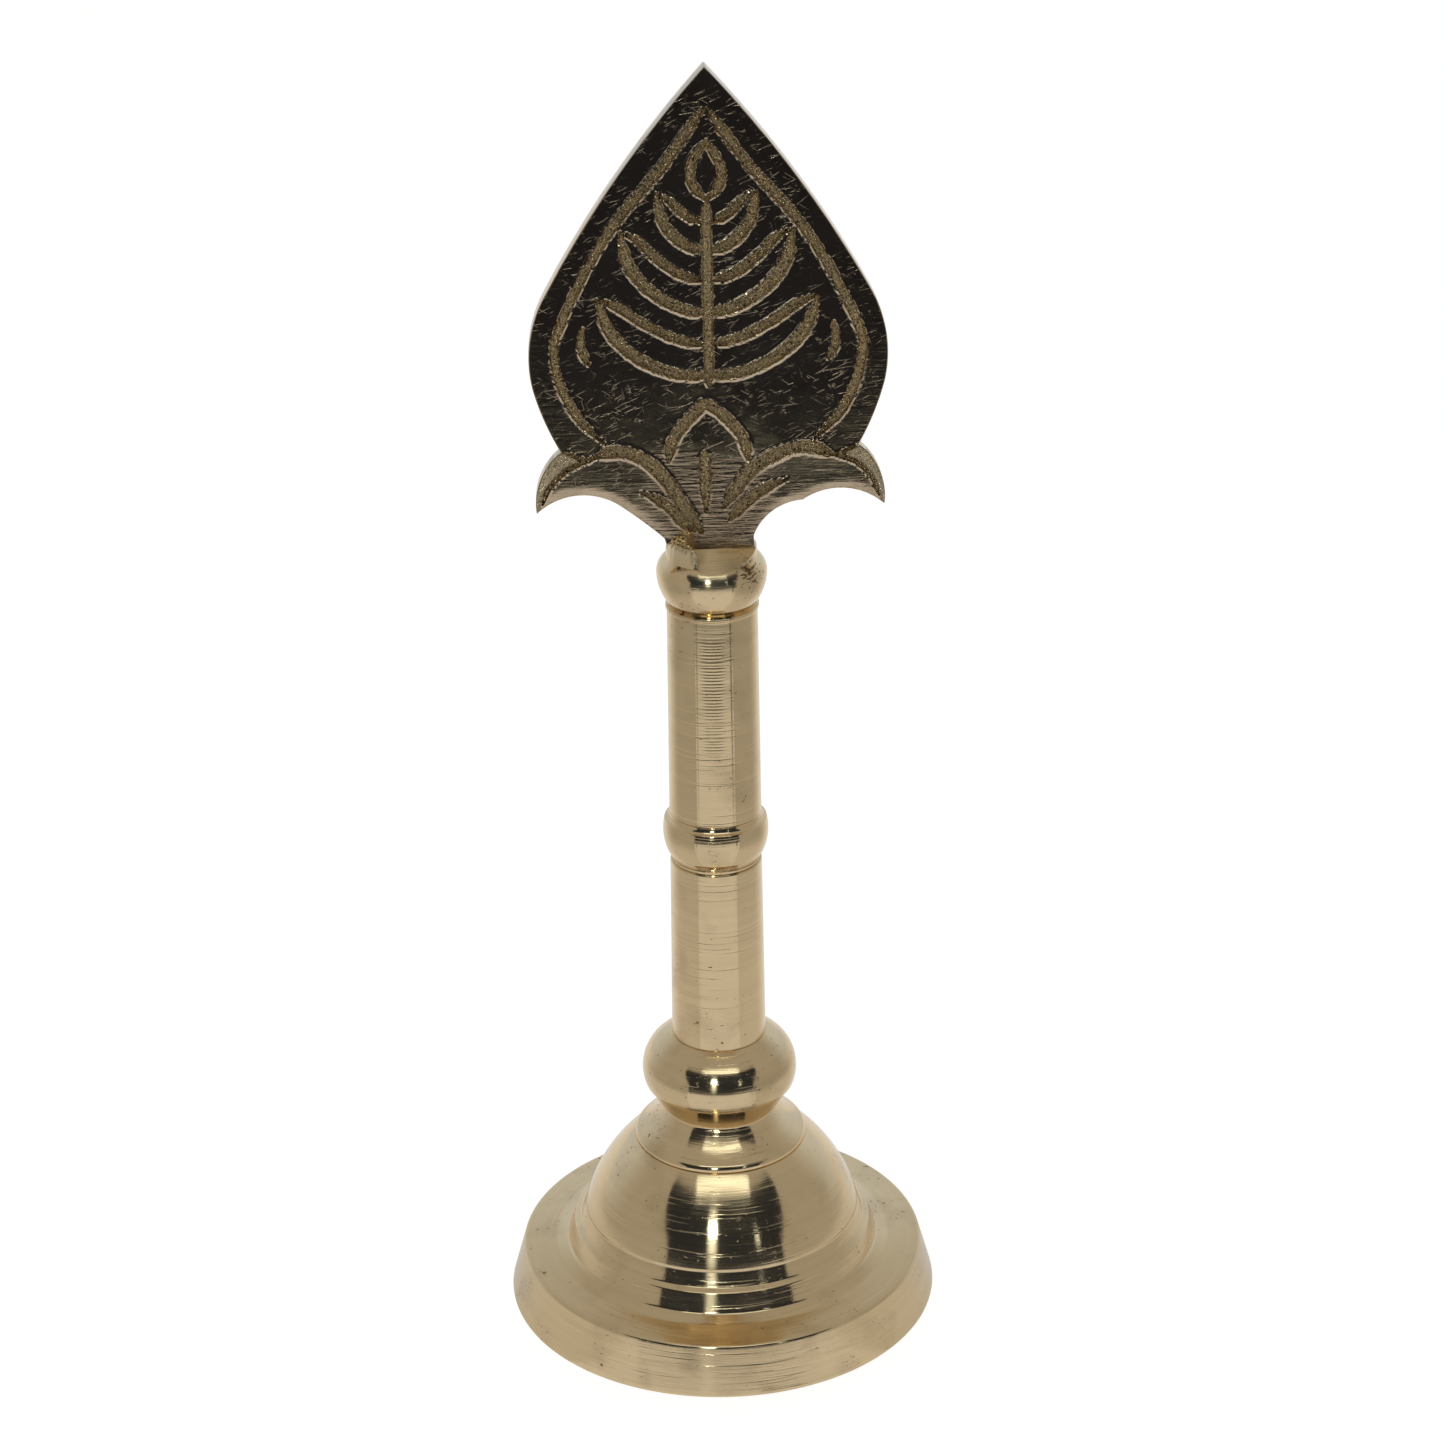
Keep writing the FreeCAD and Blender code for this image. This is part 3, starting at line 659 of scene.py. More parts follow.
class LEAFSTAND_OT_column(bpy.types.Operator):
    """Turns the neck, the lower knop, the two shafts and the ring between"""
    bl_idname = "leafstand.column"
    bl_label = "Column"

    def execute(self, context):
        material = finish("turned_polished_brass", turned_brass)
        waist = CROWN + 5.0
        turned("neck_flare", "neck_collar", [
            (ROD_HOLE, CROWN - 1.8, 0.1, 0),
            (5.0, CROWN - 1.8, 0.2, 0),
            (5.0, CROWN, 0, 0),
            (12.6, CROWN, 0.22, 0.3),
            (12.0, CROWN + 1.3, 0.35, -0.3),
            (8.2, waist, 0.25, 0),
            (8.5, COLLAR_TOP, 0.1, 0),
            (SPIGOT_RADIUS, COLLAR_TOP, 0, 0),
            (SPIGOT_RADIUS, COLLAR_TOP + SPIGOT, 0.2, 0),
            (ROD_HOLE, COLLAR_TOP + SPIGOT, 0.1, 0),
        ], 23, material, step=0.18)
        edge_level = COLLAR_TOP + 3.2
        turned("lower_bead", "lower_knop", [
            (BORE, COLLAR_TOP, 0.1, 0),
            (8.8, COLLAR_TOP, 0.1, 0),
            (10.7, edge_level, 0, 0),
            (10.98, edge_level + 0.25, 0.12, (11.36, COLLAR_TOP + 5.1)),
            (9.6, COLLAR_TOP + 9.9, 0.5, 0.1),
            (SHAFT_FOOT_RADIUS, KNOP_TOP, 0.08, 0),
            (SPIGOT_RADIUS, KNOP_TOP, 0, 0),
            (SPIGOT_RADIUS, KNOP_TOP + SPIGOT, 0.2, 0),
            (ROD_HOLE, KNOP_TOP + SPIGOT, 0.1, 0),
            (ROD_HOLE, COLLAR_TOP + 3.4, 0, 0),
            (BORE, COLLAR_TOP + 3.4, 0, 0),
        ], 37, material, step=0.2)
        turned("lower_shaft", "lower_column", [
            (BORE, KNOP_TOP, 0.1, 0),
            (SHAFT_FOOT_RADIUS, KNOP_TOP, 0.08, 0),
            (SHAFT_RADIUS, LOWER_COLUMN_TOP, 0.22, 0),
            (BORE, LOWER_COLUMN_TOP, 0.1, 0),
        ], 41, material)
        ring_foot = LOWER_COLUMN_TOP + 1.5
        turned("middle_bead", "middle_ring", [
            (ROD_HOLE, LOWER_COLUMN_TOP - SPIGOT, 0.1, 0),
            (SPIGOT_RADIUS, LOWER_COLUMN_TOP - SPIGOT, 0.2, 0),
            (SPIGOT_RADIUS, LOWER_COLUMN_TOP, 0, 0),
            (6.35, LOWER_COLUMN_TOP, 0.1, 0),
            (6.35, LOWER_COLUMN_TOP + 0.4, 0.1, 0),
            (6.62, LOWER_COLUMN_TOP + 0.85, 0.06, 0),
            (6.56, LOWER_COLUMN_TOP + 0.95, 0.06, 0),
            (6.86, ring_foot - 0.05, 0.06, 0),
            (6.95, ring_foot + 0.05, 0.08, (7.57, LOWER_COLUMN_TOP + 4.9)),
            (7.33, RING_TOP - 1.0, 0.15, -0.22),
            (SHAFT_RADIUS, RING_TOP - 0.12, 0.06, 0),
            (6.4, RING_TOP, 0.05, 0),
            (SPIGOT_RADIUS, RING_TOP, 0, 0),
            (SPIGOT_RADIUS, RING_TOP + SPIGOT, 0.2, 0),
            (ROD_HOLE, RING_TOP + SPIGOT, 0.1, 0),
        ], 53, material, step=0.18)
        lip = UPPER_COLUMN_TOP - 0.45
        turned("upper_shaft", "upper_column", [
            (BORE, RING_TOP, 0.1, 0),
            (SHAFT_RADIUS, RING_TOP, 0.12, 0),
            (NECK_RADIUS, lip - 0.2, 0.1, 0),
            (6.57, lip, 0.08, 0),
            (6.57, UPPER_COLUMN_TOP, 0.12, 0),
            (BORE, UPPER_COLUMN_TOP, 0.1, 0),
        ], 67, material)
        return {"FINISHED"}


def bead_rows(columns, rings=56):
    """The bead's skin as rows of points, up its side and in over its top."""
    bead_foot = (NECK_RADIUS, UPPER_COLUMN_TOP + 0.65)
    belly = (7.72, UPPER_COLUMN_TOP + 4.9)
    shoulder = (6.4, UPPER_COLUMN_TOP + 7.2)
    side = ([(SPIGOT_RADIUS, UPPER_COLUMN_TOP - 6.0), (SPIGOT_RADIUS, UPPER_COLUMN_TOP),
             (6.12, UPPER_COLUMN_TOP), (6.12, UPPER_COLUMN_TOP + 0.4)]
            + arc_points(bead_foot, arc_middle(bead_foot, belly, 0.35), belly, 24)
            + arc_points(belly, arc_middle(belly, shoulder, 0.35), shoulder, 16)[1:])
    side += [(shoulder[0] * (1 - ring / (rings + 1)), STUB_TOP)
             for ring in range(1, rings + 1)]
    angles = np.arange(columns) * FULL_TURN / columns
    return np.stack([np.column_stack([r * np.cos(angles), r * np.sin(angles),
                                      np.full(columns, z)]) for r, z in side])


def bead_marks(grid, uncut):
    """Where the bead is filed, and rubbed dull below the seat in front, and
    where it is pitted, at the front right."""
    filed = smoothstep(0.0, 0.08, uncut - grid[:, :, 2])
    turn = np.arctan2(grid[:, :, 1], grid[:, :, 0])
    over_seat = grid[:, :, 2] - SEAT
    belly_radius = 7.0
    off = np.hypot((turn + 0.75) * belly_radius, (over_seat + 2.4) * 1.2)
    pitted = 1 - smoothstep(0.8, 3.4, off)
    worn = np.exp(-((turn + math.pi / 2) * belly_radius / 3.2) ** 2
                  - ((over_seat + 2.8) / 1.1) ** 2)
    return np.maximum(filed, 0.45 * worn), pitted


class LEAFSTAND_OT_top_bead(bpy.types.Operator):
    """Turns the bead that holds the leaf and files its top away on both sides"""
    bl_idname = "leafstand.top_bead"
    bl_label = "Top bead"

    def execute(self, context):
        columns = 256
        grid = bead_rows(columns)
        uncut = grid[:, :, 2].copy()
        grid[:, :, 2] = filed_top(grid[:, :, 0], grid[:, :, 1], uncut)
        filed, pitted = bead_marks(grid, uncut)
        crown = filed_top(np.zeros(1), np.zeros(1), np.full(1, STUB_TOP))[0]
        points = [tuple(p) for p in grid.reshape(-1, 3) * MM]
        bottom = len(points)
        points += [(0, 0, grid[0, 0, 2] * MM), (0, 0, crown * MM)]
        count = len(grid)
        faces = [(r * columns + c, r * columns + (c + 1) % columns,
                  (r + 1) * columns + (c + 1) % columns, (r + 1) * columns + c)
                 for r in range(count - 1) for c in range(columns)]
        last = (count - 1) * columns
        faces += [(bottom, (c + 1) % columns, c) for c in range(columns)]
        faces += [(last + c, last + (c + 1) % columns, bottom + 1) for c in range(columns)]
        mesh = bpy.data.meshes.new("top_bead")
        mesh.from_pydata(points, [], faces)
        mesh.validate()
        for name, values in (("filed", filed), ("pitted", pitted)):
            mark_points(mesh, name, np.append(values.ravel(), [0.0, 0.0]))
        obj = new_piece("top_bead", mesh)
        mesh.materials.append(finish("turned_polished_brass", turned_brass))
        outward(mesh)
        mesh.shade_smooth()
        mesh.set_sharp_from_angle(angle=math.radians(48))
        finished(obj, "top_knop")
        return {"FINISHED"}


def filed_top(x, y, z):
    """Lowers the stub at the bead's top to the two filed slopes that meet the
    leaf, apart from the remnant that the file left at the front left."""
    past_plate = np.abs(y) - HALF_PLATE
    out = np.maximum(past_plate, 0.0)
    slope = SEAT - out * (1.75 / 5.4)
    left = (x < -3.6 + out * 0.32) & (y < -HALF_PLATE * 0.9)
    ragged = 0.12 * np.sin(x * 5.1 + 1.0) * np.cos(y * 4.3)
    round_end = np.maximum(0.0, np.hypot(x, y) - 5.9) * 1.2
    remnant = STUB_TOP - 0.1 + ragged - round_end
    return np.minimum(z, np.where(left, remnant, slope))


# ------------------------------------------------------------------- leaf

def leaf_side(sign, neck, throat):
    """One side of the leaf as corners, from its point down to the tang."""
    def corner(x, rise, rounding, arc):
        if isinstance(arc, tuple):
            arc = (arc[0] * sign, SEAT + arc[1])
        else:
            arc = -arc * sign
        return (x * sign, SEAT + rise, rounding, arc)

    return [
        corner(0.0, BLADE_TOP - SEAT, 0.25, 1.15),
        corner(22.0, 36.7, 0, (24.3, 28.2)),
        corner(23.9, 23.8, 0, 0.32),
        corner(20.3, 14.6, 0.2, 1.25),
        corner(23.95, 5.8, 0.25, -2.05),
        corner(12.65, 6.8, 0, -throat),
        corner(neck, 1.7, 0.2, 0),
        corner(6.0, 0.0, 0, 0),
        corner(3.9, 0.0, 0, 0),
        corner(3.9, -4.6, 0, 0),
    ]


def mirrored(points):
    return [(-x, rise) for x, rise in points]


def leaf_strokes():
    """The engraved strokes: points as (x, height over the seat), width as a
    share of the stroke width, and how long each end tapers, in millimetres."""
    border = [(0.3, 61.9), (5.6, 54.4), (12.0, 46.9), (17.0, 38.9), (20.3, 31.7),
              (20.85, 28.6), (20.0, 24.0), (17.8, 19.6), (14.3, 15.7)]
    bud = [(-5.7, 13.0), (-5.2, 15.7), (-3.8, 17.95), (-1.95, 19.9), (-0.5, 21.1),
           (1.45, 19.9), (3.3, 17.95), (4.7, 15.7), (5.2, 13.0)]
    petal_left = [(-15.7, 13.85), (-13.6, 14.6), (-11.1, 14.4), (-8.4, 12.9),
                  (-6.0, 10.2), (-4.2, 7.25), (-2.4, 4.35), (-1.3, 2.5)]
    petal_right = [(16.8, 13.35), (14.15, 14.5), (11.45, 14.5), (8.2, 13.2),
                   (5.5, 11.4), (3.6, 8.95), (1.7, 6.1)]
    inner_left = [(-9.45, 8.55), (-7.5, 7.6), (-5.6, 6.2), (-4.1, 4.35), (-2.4, 2.85)]
    inner_right = [(10.5, 9.95), (8.0, 9.0), (5.8, 7.6), (4.1, 6.05), (2.6, 4.3)]
    low_leaf = [(0.5, 25.2), (4.8, 25.7), (9.4, 27.8), (13.0, 31.4), (14.9, 36.2)]
    low_back = [(0.9, 29.6), (4.8, 30.7), (8.9, 32.9), (12.2, 35.2), (14.9, 36.2)]
    middle_leaf = [(0.5, 34.0), (4.1, 35.0), (7.9, 37.5), (10.6, 41.2), (11.5, 45.4)]
    middle_back = [(0.9, 38.5), (4.0, 39.7), (7.2, 42.2), (9.3, 44.4), (11.5, 45.4)]
    high_leaf = [(0.5, 42.6), (3.3, 43.8), (5.7, 46.6), (6.7, 50.6)]
    high_back = [(0.8, 46.6), (2.8, 47.6), (4.9, 49.6), (6.7, 50.6)]
    point_leaf = [(0.0, 57.6), (1.8, 54.6), (1.9, 52.0), (0.0, 49.6)]
    wisp = [(16.2, 27.2), (17.2, 29.6), (16.9, 32.2)]
    return [
        (border, 0.8, 3.0, 5.0),
        (mirrored(border), 0.74, 3.0, 5.0),
        (bud, 0.95, 2.0, 2.0),
        ([(-0.7, 14.2), (-0.7, 9.8), (-0.7, 5.5)], 0.95, 1.0, 4.0),
        (petal_left, 1.1, 2.2, 3.0),
        (petal_right, 1.1, 2.2, 3.0),
        (inner_left, 0.95, 3.5, 2.0),
        (inner_right, 0.95, 3.5, 2.0),
        ([(-20.0, 14.7), (-16.6, 13.3)], 0.4, 0.5, 0.5),
        ([(20.2, 14.5), (17.6, 13.4)], 0.4, 0.5, 0.5),
        ([(-23.1, 7.2), (-22.0, 9.7), (-19.6, 12.1), (-15.9, 13.8)], 0.42, 1.5, 0.5),
        ([(23.1, 7.2), (22.2, 9.9), (20.0, 12.2), (16.9, 13.4)], 0.42, 1.5, 0.5),
        (low_leaf, 0.95, 1.5, 3.5),
        (mirrored(low_leaf), 0.95, 1.5, 3.5),
        (low_back, 0.8, 1.5, 3.5),
        (mirrored(low_back), 0.8, 1.5, 3.5),
        (middle_leaf, 0.95, 1.5, 3.5),
        (mirrored(middle_leaf), 0.95, 1.5, 3.5),
        (middle_back, 0.8, 1.5, 3.5),
        (mirrored(middle_back), 0.8, 1.5, 3.5),
        (high_leaf, 0.9, 1.5, 3.0),
        (mirrored(high_leaf), 0.9, 1.5, 3.0),
        (high_back, 0.75, 1.5, 3.0),
        (mirrored(high_back), 0.75, 1.5, 3.0),
        (point_leaf, 0.8, 2.0, 2.0),
        (mirrored(point_leaf), 0.8, 2.0, 2.0),
        (wisp, 0.7, 1.5, 1.5),
        (mirrored(wisp), 0.7, 1.5, 1.5),
        ([(0.0, 23.8), (0.0, 34.0), (0.0, 44.0), (0.0, 49.4)], 0.9, 1.5, 2.0),
    ]


def smooth_line(points, step=0.15):
    """An even line of points along a Catmull-Rom curve through the given ones."""
    spots = np.array([points[0]] + list(points) + [points[-1]], dtype=float)
    pieces = []
    for i in range(1, len(spots) - 2):
        a, b, c, d = spots[i - 1:i + 3]
        t = np.linspace(0, 1, 24, endpoint=False)[:, None]
        pieces.append(0.5 * (2 * b + (c - a) * t + (2 * a - 5 * b + 4 * c - d) * t ** 2
                             + (3 * b - a - 3 * c + d) * t ** 3))
    line = np.vstack(pieces + [spots[-1:]])
    along = np.concatenate([[0], np.cumsum(np.hypot(*np.diff(line, axis=0).T))])
    places = np.linspace(0, along[-1], max(3, int(along[-1] / step) + 1))
    return np.column_stack([np.interp(places, along, line[:, k]) for k in range(2)]), places


def value_noise(x, z, size, seed):
    """Smooth noise between -1 and 1 on a lattice of the given size."""
    rng = np.random.default_rng(seed)
    table = rng.uniform(-1, 1, (256, 256))
    u, v = x / size + 100.0, z / size + 100.0
    iu, iv = np.floor(u).astype(int), np.floor(v).astype(int)
    fu, fv = u - iu, v - iv
    fu, fv = fu * fu * (3 - 2 * fu), fv * fv * (3 - 2 * fv)
    def pick(du, dv):
        return table[(iu + du) % 256, (iv + dv) % 256]
    low = pick(0, 0) * (1 - fu) + pick(1, 0) * fu
    high = pick(0, 1) * (1 - fu) + pick(1, 1) * fu
    return low * (1 - fv) + high * fv


def smoothstep(low, high, value):
    t = np.clip((value - low) / (high - low), 0, 1)
    return t * t * (3 - 2 * t)


def engrave(x, rise):
    """How far the face stands out at each place, in millimetres, and how much
    of a stroke's floor lies there, from 0 to 1."""
    sizes = bpy.context.scene.leafstand_leaf
    full_width = sizes.stroke_width / MM / 2
    depth, burr = sizes.stroke_depth / MM, sizes.burr_height / MM
    nearest = np.full(x.shape, 9.0)
    for number, (points, share, start, end) in enumerate(leaf_strokes()):
        line, along = smooth_line(points)
        taper = np.minimum(smoothstep(-0.4, start, along),
                           smoothstep(-0.4, end, along[-1] - along))
        wobble = value_noise(along, along * 0 + number * 3.7, 0.9, 5)
        half = full_width * share * (0.25 + 0.75 * taper) * (1 + 0.07 * wobble)
        low, high = line.min(axis=0) - 2.5, line.max(axis=0) + 2.5
        near = np.nonzero((x > low[0]) & (x < high[0]) & (rise > low[1])
                          & (rise < high[1]))[0]
        for part in np.array_split(near, max(1, len(near) * len(line) // 4000000)):
            gap = np.hypot(x[part, None] - line[None, :, 0],
                           rise[part, None] - line[None, :, 1])
            edge = (gap / half[None, :]).min(axis=1)
            nearest[part] = np.minimum(nearest[part], edge)
    # From here 0 is a stroke's middle and 1 its edge, which is a little ragged.
    ragged = nearest + 0.10 * value_noise(x, rise, 0.45, 7)
    floor = 1 - smoothstep(0.62, 1.0, ragged)
    valley = 1 - np.clip(ragged, 0, 1)
    lip = burr * np.exp(-((ragged - 1.12) / 0.15) ** 2)
    # Unevenness in millimetres: tool marks in the strokes, waves on the face.
    chisel = 0.055 * value_noise(x, rise, 0.38, 9) + 0.03 * value_noise(x, rise, 0.21, 10)
    slow = 0.022 * value_noise(x, rise, 5.0, 3) + 0.006 * value_noise(x, rise, 1.4, 4)
    return lip - floor * (0.55 * depth + chisel) - 0.6 * depth * valley + slow, floor


def gap_to_line(x, rise, line):
    """Distance from each place to a line of points, and the share of the
    line's points that come before the nearest one."""
    gap = np.hypot(x[:, None] - line[None, :, 0], rise[:, None] - line[None, :, 1])
    return gap.min(axis=1), gap.argmin(axis=1) / (len(line) - 1)


def petal_edges(x, rise):
    """Depth of the bevel along the upper edge of each petal, from the notch out
    to the tip, and of the soft fall towards the petals' lower edges."""
    bevel, fall = np.zeros(x.shape), np.zeros(x.shape)
    for sign, root_bulge in ((-1, 0.12), (1, 1.3)):
        notch, tip = (20.3 * sign, 14.6), (23.95 * sign, 5.8)
        root, throat = (12.65 * sign, 6.8), (6.2 * sign, 1.7)
        upper = np.array(arc_points(notch, arc_middle(notch, tip, -1.25 * sign), tip, 40))
        near, share = gap_to_line(x, rise, upper)
        width = 0.5 + 1.8 * (1 - share)
        bevel += (1 - np.clip(near / width, 0, 1)) * 0.85 * (width / 2.3)
        lower = np.array(arc_points(tip, arc_middle(tip, root, 2.05 * sign), root, 40)
                         + arc_points(root, arc_middle(root, throat, root_bulge * sign),
                                      throat, 30))
        near, share = gap_to_line(x, rise, lower)
        fall += 0.13 * (1 - np.clip(near / 1.5, 0, 1)) ** 2
    # The bevels end where the petals leave the leaf's sides.
    below = 14.75 - 0.35 * np.maximum(20.3 - np.abs(x), 0) - rise
    return bevel * smoothstep(0.0, 0.5, below), fall


def ring_turns(ring):
    """The mitre direction at each point of a closed ring, towards its inside,
    with the half turn there, which is positive at an outward corner."""
    before = ring - np.roll(ring, 1, axis=0)
    after = np.roll(ring, -1, axis=0) - ring
    area = np.sum(ring[:, 0] * np.roll(ring[:, 1], -1) - np.roll(ring[:, 0], -1) * ring[:, 1])
    way = np.sign(area)
    first = np.column_stack([-before[:, 1], before[:, 0]]) * way
    second = np.column_stack([-after[:, 1], after[:, 0]]) * way
    first /= np.linalg.norm(first, axis=1)[:, None]
    second /= np.linalg.norm(second, axis=1)[:, None]
    mean = first + second
    mean /= np.maximum(np.linalg.norm(mean, axis=1), 1e-9)[:, None]
    cosine = np.clip((mean * first).sum(axis=1), 0.3, 1.0)
    cross = (before[:, 0] * after[:, 1] - before[:, 1] * after[:, 0]) * way
    half_turn = np.arccos(cosine) * np.sign(cross)
    return mean / cosine[:, None], half_turn


def fitting_insets(ring, inset):
    """The inset at each point of the ring, less near sharp outward corners so
    that the moved line doesn't cross itself."""
    half_turn = ring_turns(ring)[1]
    lengths = np.linalg.norm(np.roll(ring, -1, axis=0) - ring, axis=1)
    shortest = np.minimum(lengths, np.roll(lengths, 1))
    insets = np.full(len(ring), inset)
    outward_turn = half_turn > 1e-4
    limit = 0.4 * shortest[outward_turn] / np.tan(half_turn[outward_turn])
    insets[outward_turn] = np.minimum(inset, limit)
    for _ in range(12):
        insets = np.minimum(insets, np.roll(insets, 1) + 0.5 * np.roll(lengths, 1))
        insets = np.minimum(insets, np.roll(insets, -1) + 0.5 * lengths)
    return insets


def ring_inset(ring, insets):
    """The closed line moved inwards by the inset at each of its points."""
    return ring + ring_turns(ring)[0] * insets[:, None]


def inside(points, ring):
    """Which points lie inside the closed ring."""
    count = np.zeros(len(points), dtype=int)
    for (ax, ay), (bx, by) in zip(ring, np.roll(ring, -1, axis=0)):
        if ay == by:
            continue
        crosses = (points[:, 1] > min(ay, by)) & (points[:, 1] <= max(ay, by))
        reach = ax + (points[:, 1] - ay) * (bx - ax) / (by - ay)
        count += crosses & (reach > points[:, 0])
    return count % 2 == 1


def gap_to(points, ring):
    """Distance from each point to the nearest of the ring's points."""
    gaps = np.empty(len(points))
    for part in np.array_split(np.arange(len(points)), max(1, len(points) // 4000)):
        gaps[part] = np.hypot(points[part, None, 0] - ring[None, :, 0],
                              points[part, None, 1] - ring[None, :, 1]).min(axis=1)
    return gaps


def leaf_ring():
    """The leaf's whole outline as a closed ring: down its right side, across
    the tang's end and up its left side."""
    right = leaf_side(1, 5.85, 1.3)
    left = leaf_side(-1, 6.5, 0.12)
    back_up = []
    for i in range(len(left) - 1, 0, -1):
        x, z, rounding, _ = left[i]
        arc = left[i - 1][3]
        back_up.append((x, z, rounding, arc if isinstance(arc, tuple) else -arc))
    return np.array(outline(right + back_up, 0.22))


def face_mesh(inner, spacing):
    """Fills the ring with triangles on an even staggered grid. Gives their
    points and corners, which points lie on the ring, and the ring's own."""
    low, high = inner.min(axis=0), inner.max(axis=0)
    gx, gz = np.meshgrid(np.arange(low[0], high[0], spacing),
                         np.arange(low[1], high[1], spacing))
    gx = gx + (np.arange(gx.shape[0]) % 2)[:, None] * spacing / 2
    grid = np.column_stack([gx.ravel(), gz.ravel()])
    grid = grid[inside(grid, inner)]
    grid = grid[gap_to(grid, inner) > spacing * 0.6]
    count = len(inner)
    flat = np.vstack([inner, grid])
    edges = [(i, (i + 1) % count) for i in range(count)]
    found = delaunay_2d_cdt([tuple(p) for p in flat], edges, [], 1, 1e-6)
    origin = [ids[0] if ids else -1 for ids in found[3]]
    if len(found[0]) != len(flat) or min(origin) < 0:
        raise RuntimeError("the leaf's face did not triangulate cleanly")
    place_of = {o: i for i, o in enumerate(origin)}
    points = np.array([tuple(p) for p in found[0]])
    return points, [tuple(t) for t in found[2]], [place_of[i] for i in range(count)]


def leaf_face(points, inner, ring, on_ring):
    """How far the face stands out at each point, and how much of a stroke's
    floor and of the coarse filing lies there."""
    x, rise = points[:, 0], points[:, 1] - SEAT
    stand, floor = engrave(x, rise)
    bevel, fall = petal_edges(x, rise)
    on_bevel = smoothstep(0.03, 0.12, bevel)
    bevel = bevel + fall
    # The face's slow waves and lips die out towards the edge.
    fade = smoothstep(0.0, 1.6, gap_to(points, inner))
    stand = stand * np.maximum(fade, floor) - bevel
    stand[on_ring] = -bevel[on_ring] * 0.9
    floor = np.maximum(floor, 0.6 * on_bevel)
    # Filed across the foot, most of all in its middle, and rubbed at the edge.
    uneven = value_noise(x, rise, 3.0, 12)
    filed = 1 - smoothstep(11.0, 15.5, rise + 1.5 * uneven)
    filed *= 1 - 0.75 * smoothstep(5.0, 11.0, np.abs(x) + 2 * uneven)
    rubbed = (1 - smoothstep(0.8, 5.5, gap_to(points, ring))) * (
        0.5 + 0.35 * value_noise(x, rise, 2.2, 14))
    filed = np.maximum(filed, 0.55 * np.clip(rubbed, 0, 1)) * (1 - floor)
    return stand, floor, filed


def edge_rows(ring, insets, rounding, sunk, steps=5):
    """The rings of points from the face's edge round to the flat back, as
    a share of the insets and a depth, with a quarter round at either side."""
    bends = [math.pi / 2 * i / steps for i in range(1, steps + 1)]
    bend_rows = [(1 - math.sin(bend), 1 - math.cos(bend)) for bend in bends]
    rows = [(share, -HALF_PLATE + rounding * sink + sunk * (1 - 0.2 * sink))
            for share, sink in bend_rows]
    rows += [(share, HALF_PLATE - rounding * sink) for share, sink in reversed(bend_rows)]
    rows.append((1.0, HALF_PLATE))
    for share, y in rows:
        moved = ring_inset(ring, insets * share)
        yield np.column_stack([moved[:, 0], np.broadcast_to(y, (len(ring),)), moved[:, 1]])


class LEAFSTAND_OT_leaf(bpy.types.Operator):
    """Cuts the leaf from plate, rounds its edges and engraves its face"""
    bl_idname = "leafstand.leaf"
    bl_label = "Engraved leaf"

    def execute(self, context):
        sizes = context.scene.leafstand_leaf
        rounding = sizes.edge_rounding / MM
        ring = leaf_ring()
        insets = fitting_insets(ring, rounding)
        inner = ring_inset(ring, insets)
        face_points, faces, last_ring = face_mesh(inner, sizes.grid / MM)
        stand, floor, filed = leaf_face(face_points, inner, ring, last_ring)
        all_points = [np.column_stack([face_points[:, 0], -HALF_PLATE - stand,
                                       face_points[:, 1]])]
        count, total = len(ring), len(face_points)
        for row in edge_rows(ring, insets, rounding, -stand[last_ring]):
            here = list(range(total, total + count))
            faces += [(last_ring[i], here[i], here[(i + 1) % count],
                       last_ring[(i + 1) % count]) for i in range(count)]
            all_points.append(row)
            last_ring, total = here, total + count
        faces.append(tuple(last_ring))
        mesh = bpy.data.meshes.new("engraved_leaf")
        mesh.from_pydata([tuple(p) for p in np.vstack(all_points) * MM], [], faces)
        if mesh.validate():
            raise RuntimeError("the leaf's mesh is broken")
        plain = np.zeros(total - len(face_points))
        for name, values in (("cut", floor), ("filed", filed)):
            mark_points(mesh, name, np.concatenate([values, plain]))
        outward(mesh)
        mesh.shade_smooth()
        mesh.set_sharp_from_angle(angle=math.radians(55))
        sharp = mesh.attributes.get("sharp_edge") or mesh.attributes.new(
            "sharp_edge", "BOOLEAN", "EDGE")
        back_ring = set(last_ring)
        for edge in mesh.edges:
            if edge.vertices[0] in back_ring and edge.vertices[1] in back_ring:
                sharp.data[edge.index].value = True
        obj = new_piece("engraved_leaf", mesh)
        mesh.materials.append(finish("filed_engraved_brass", engraved_brass))
        finished(obj, "blade")
        return {"FINISHED"}


# -------------------------------------------------------------- fastening

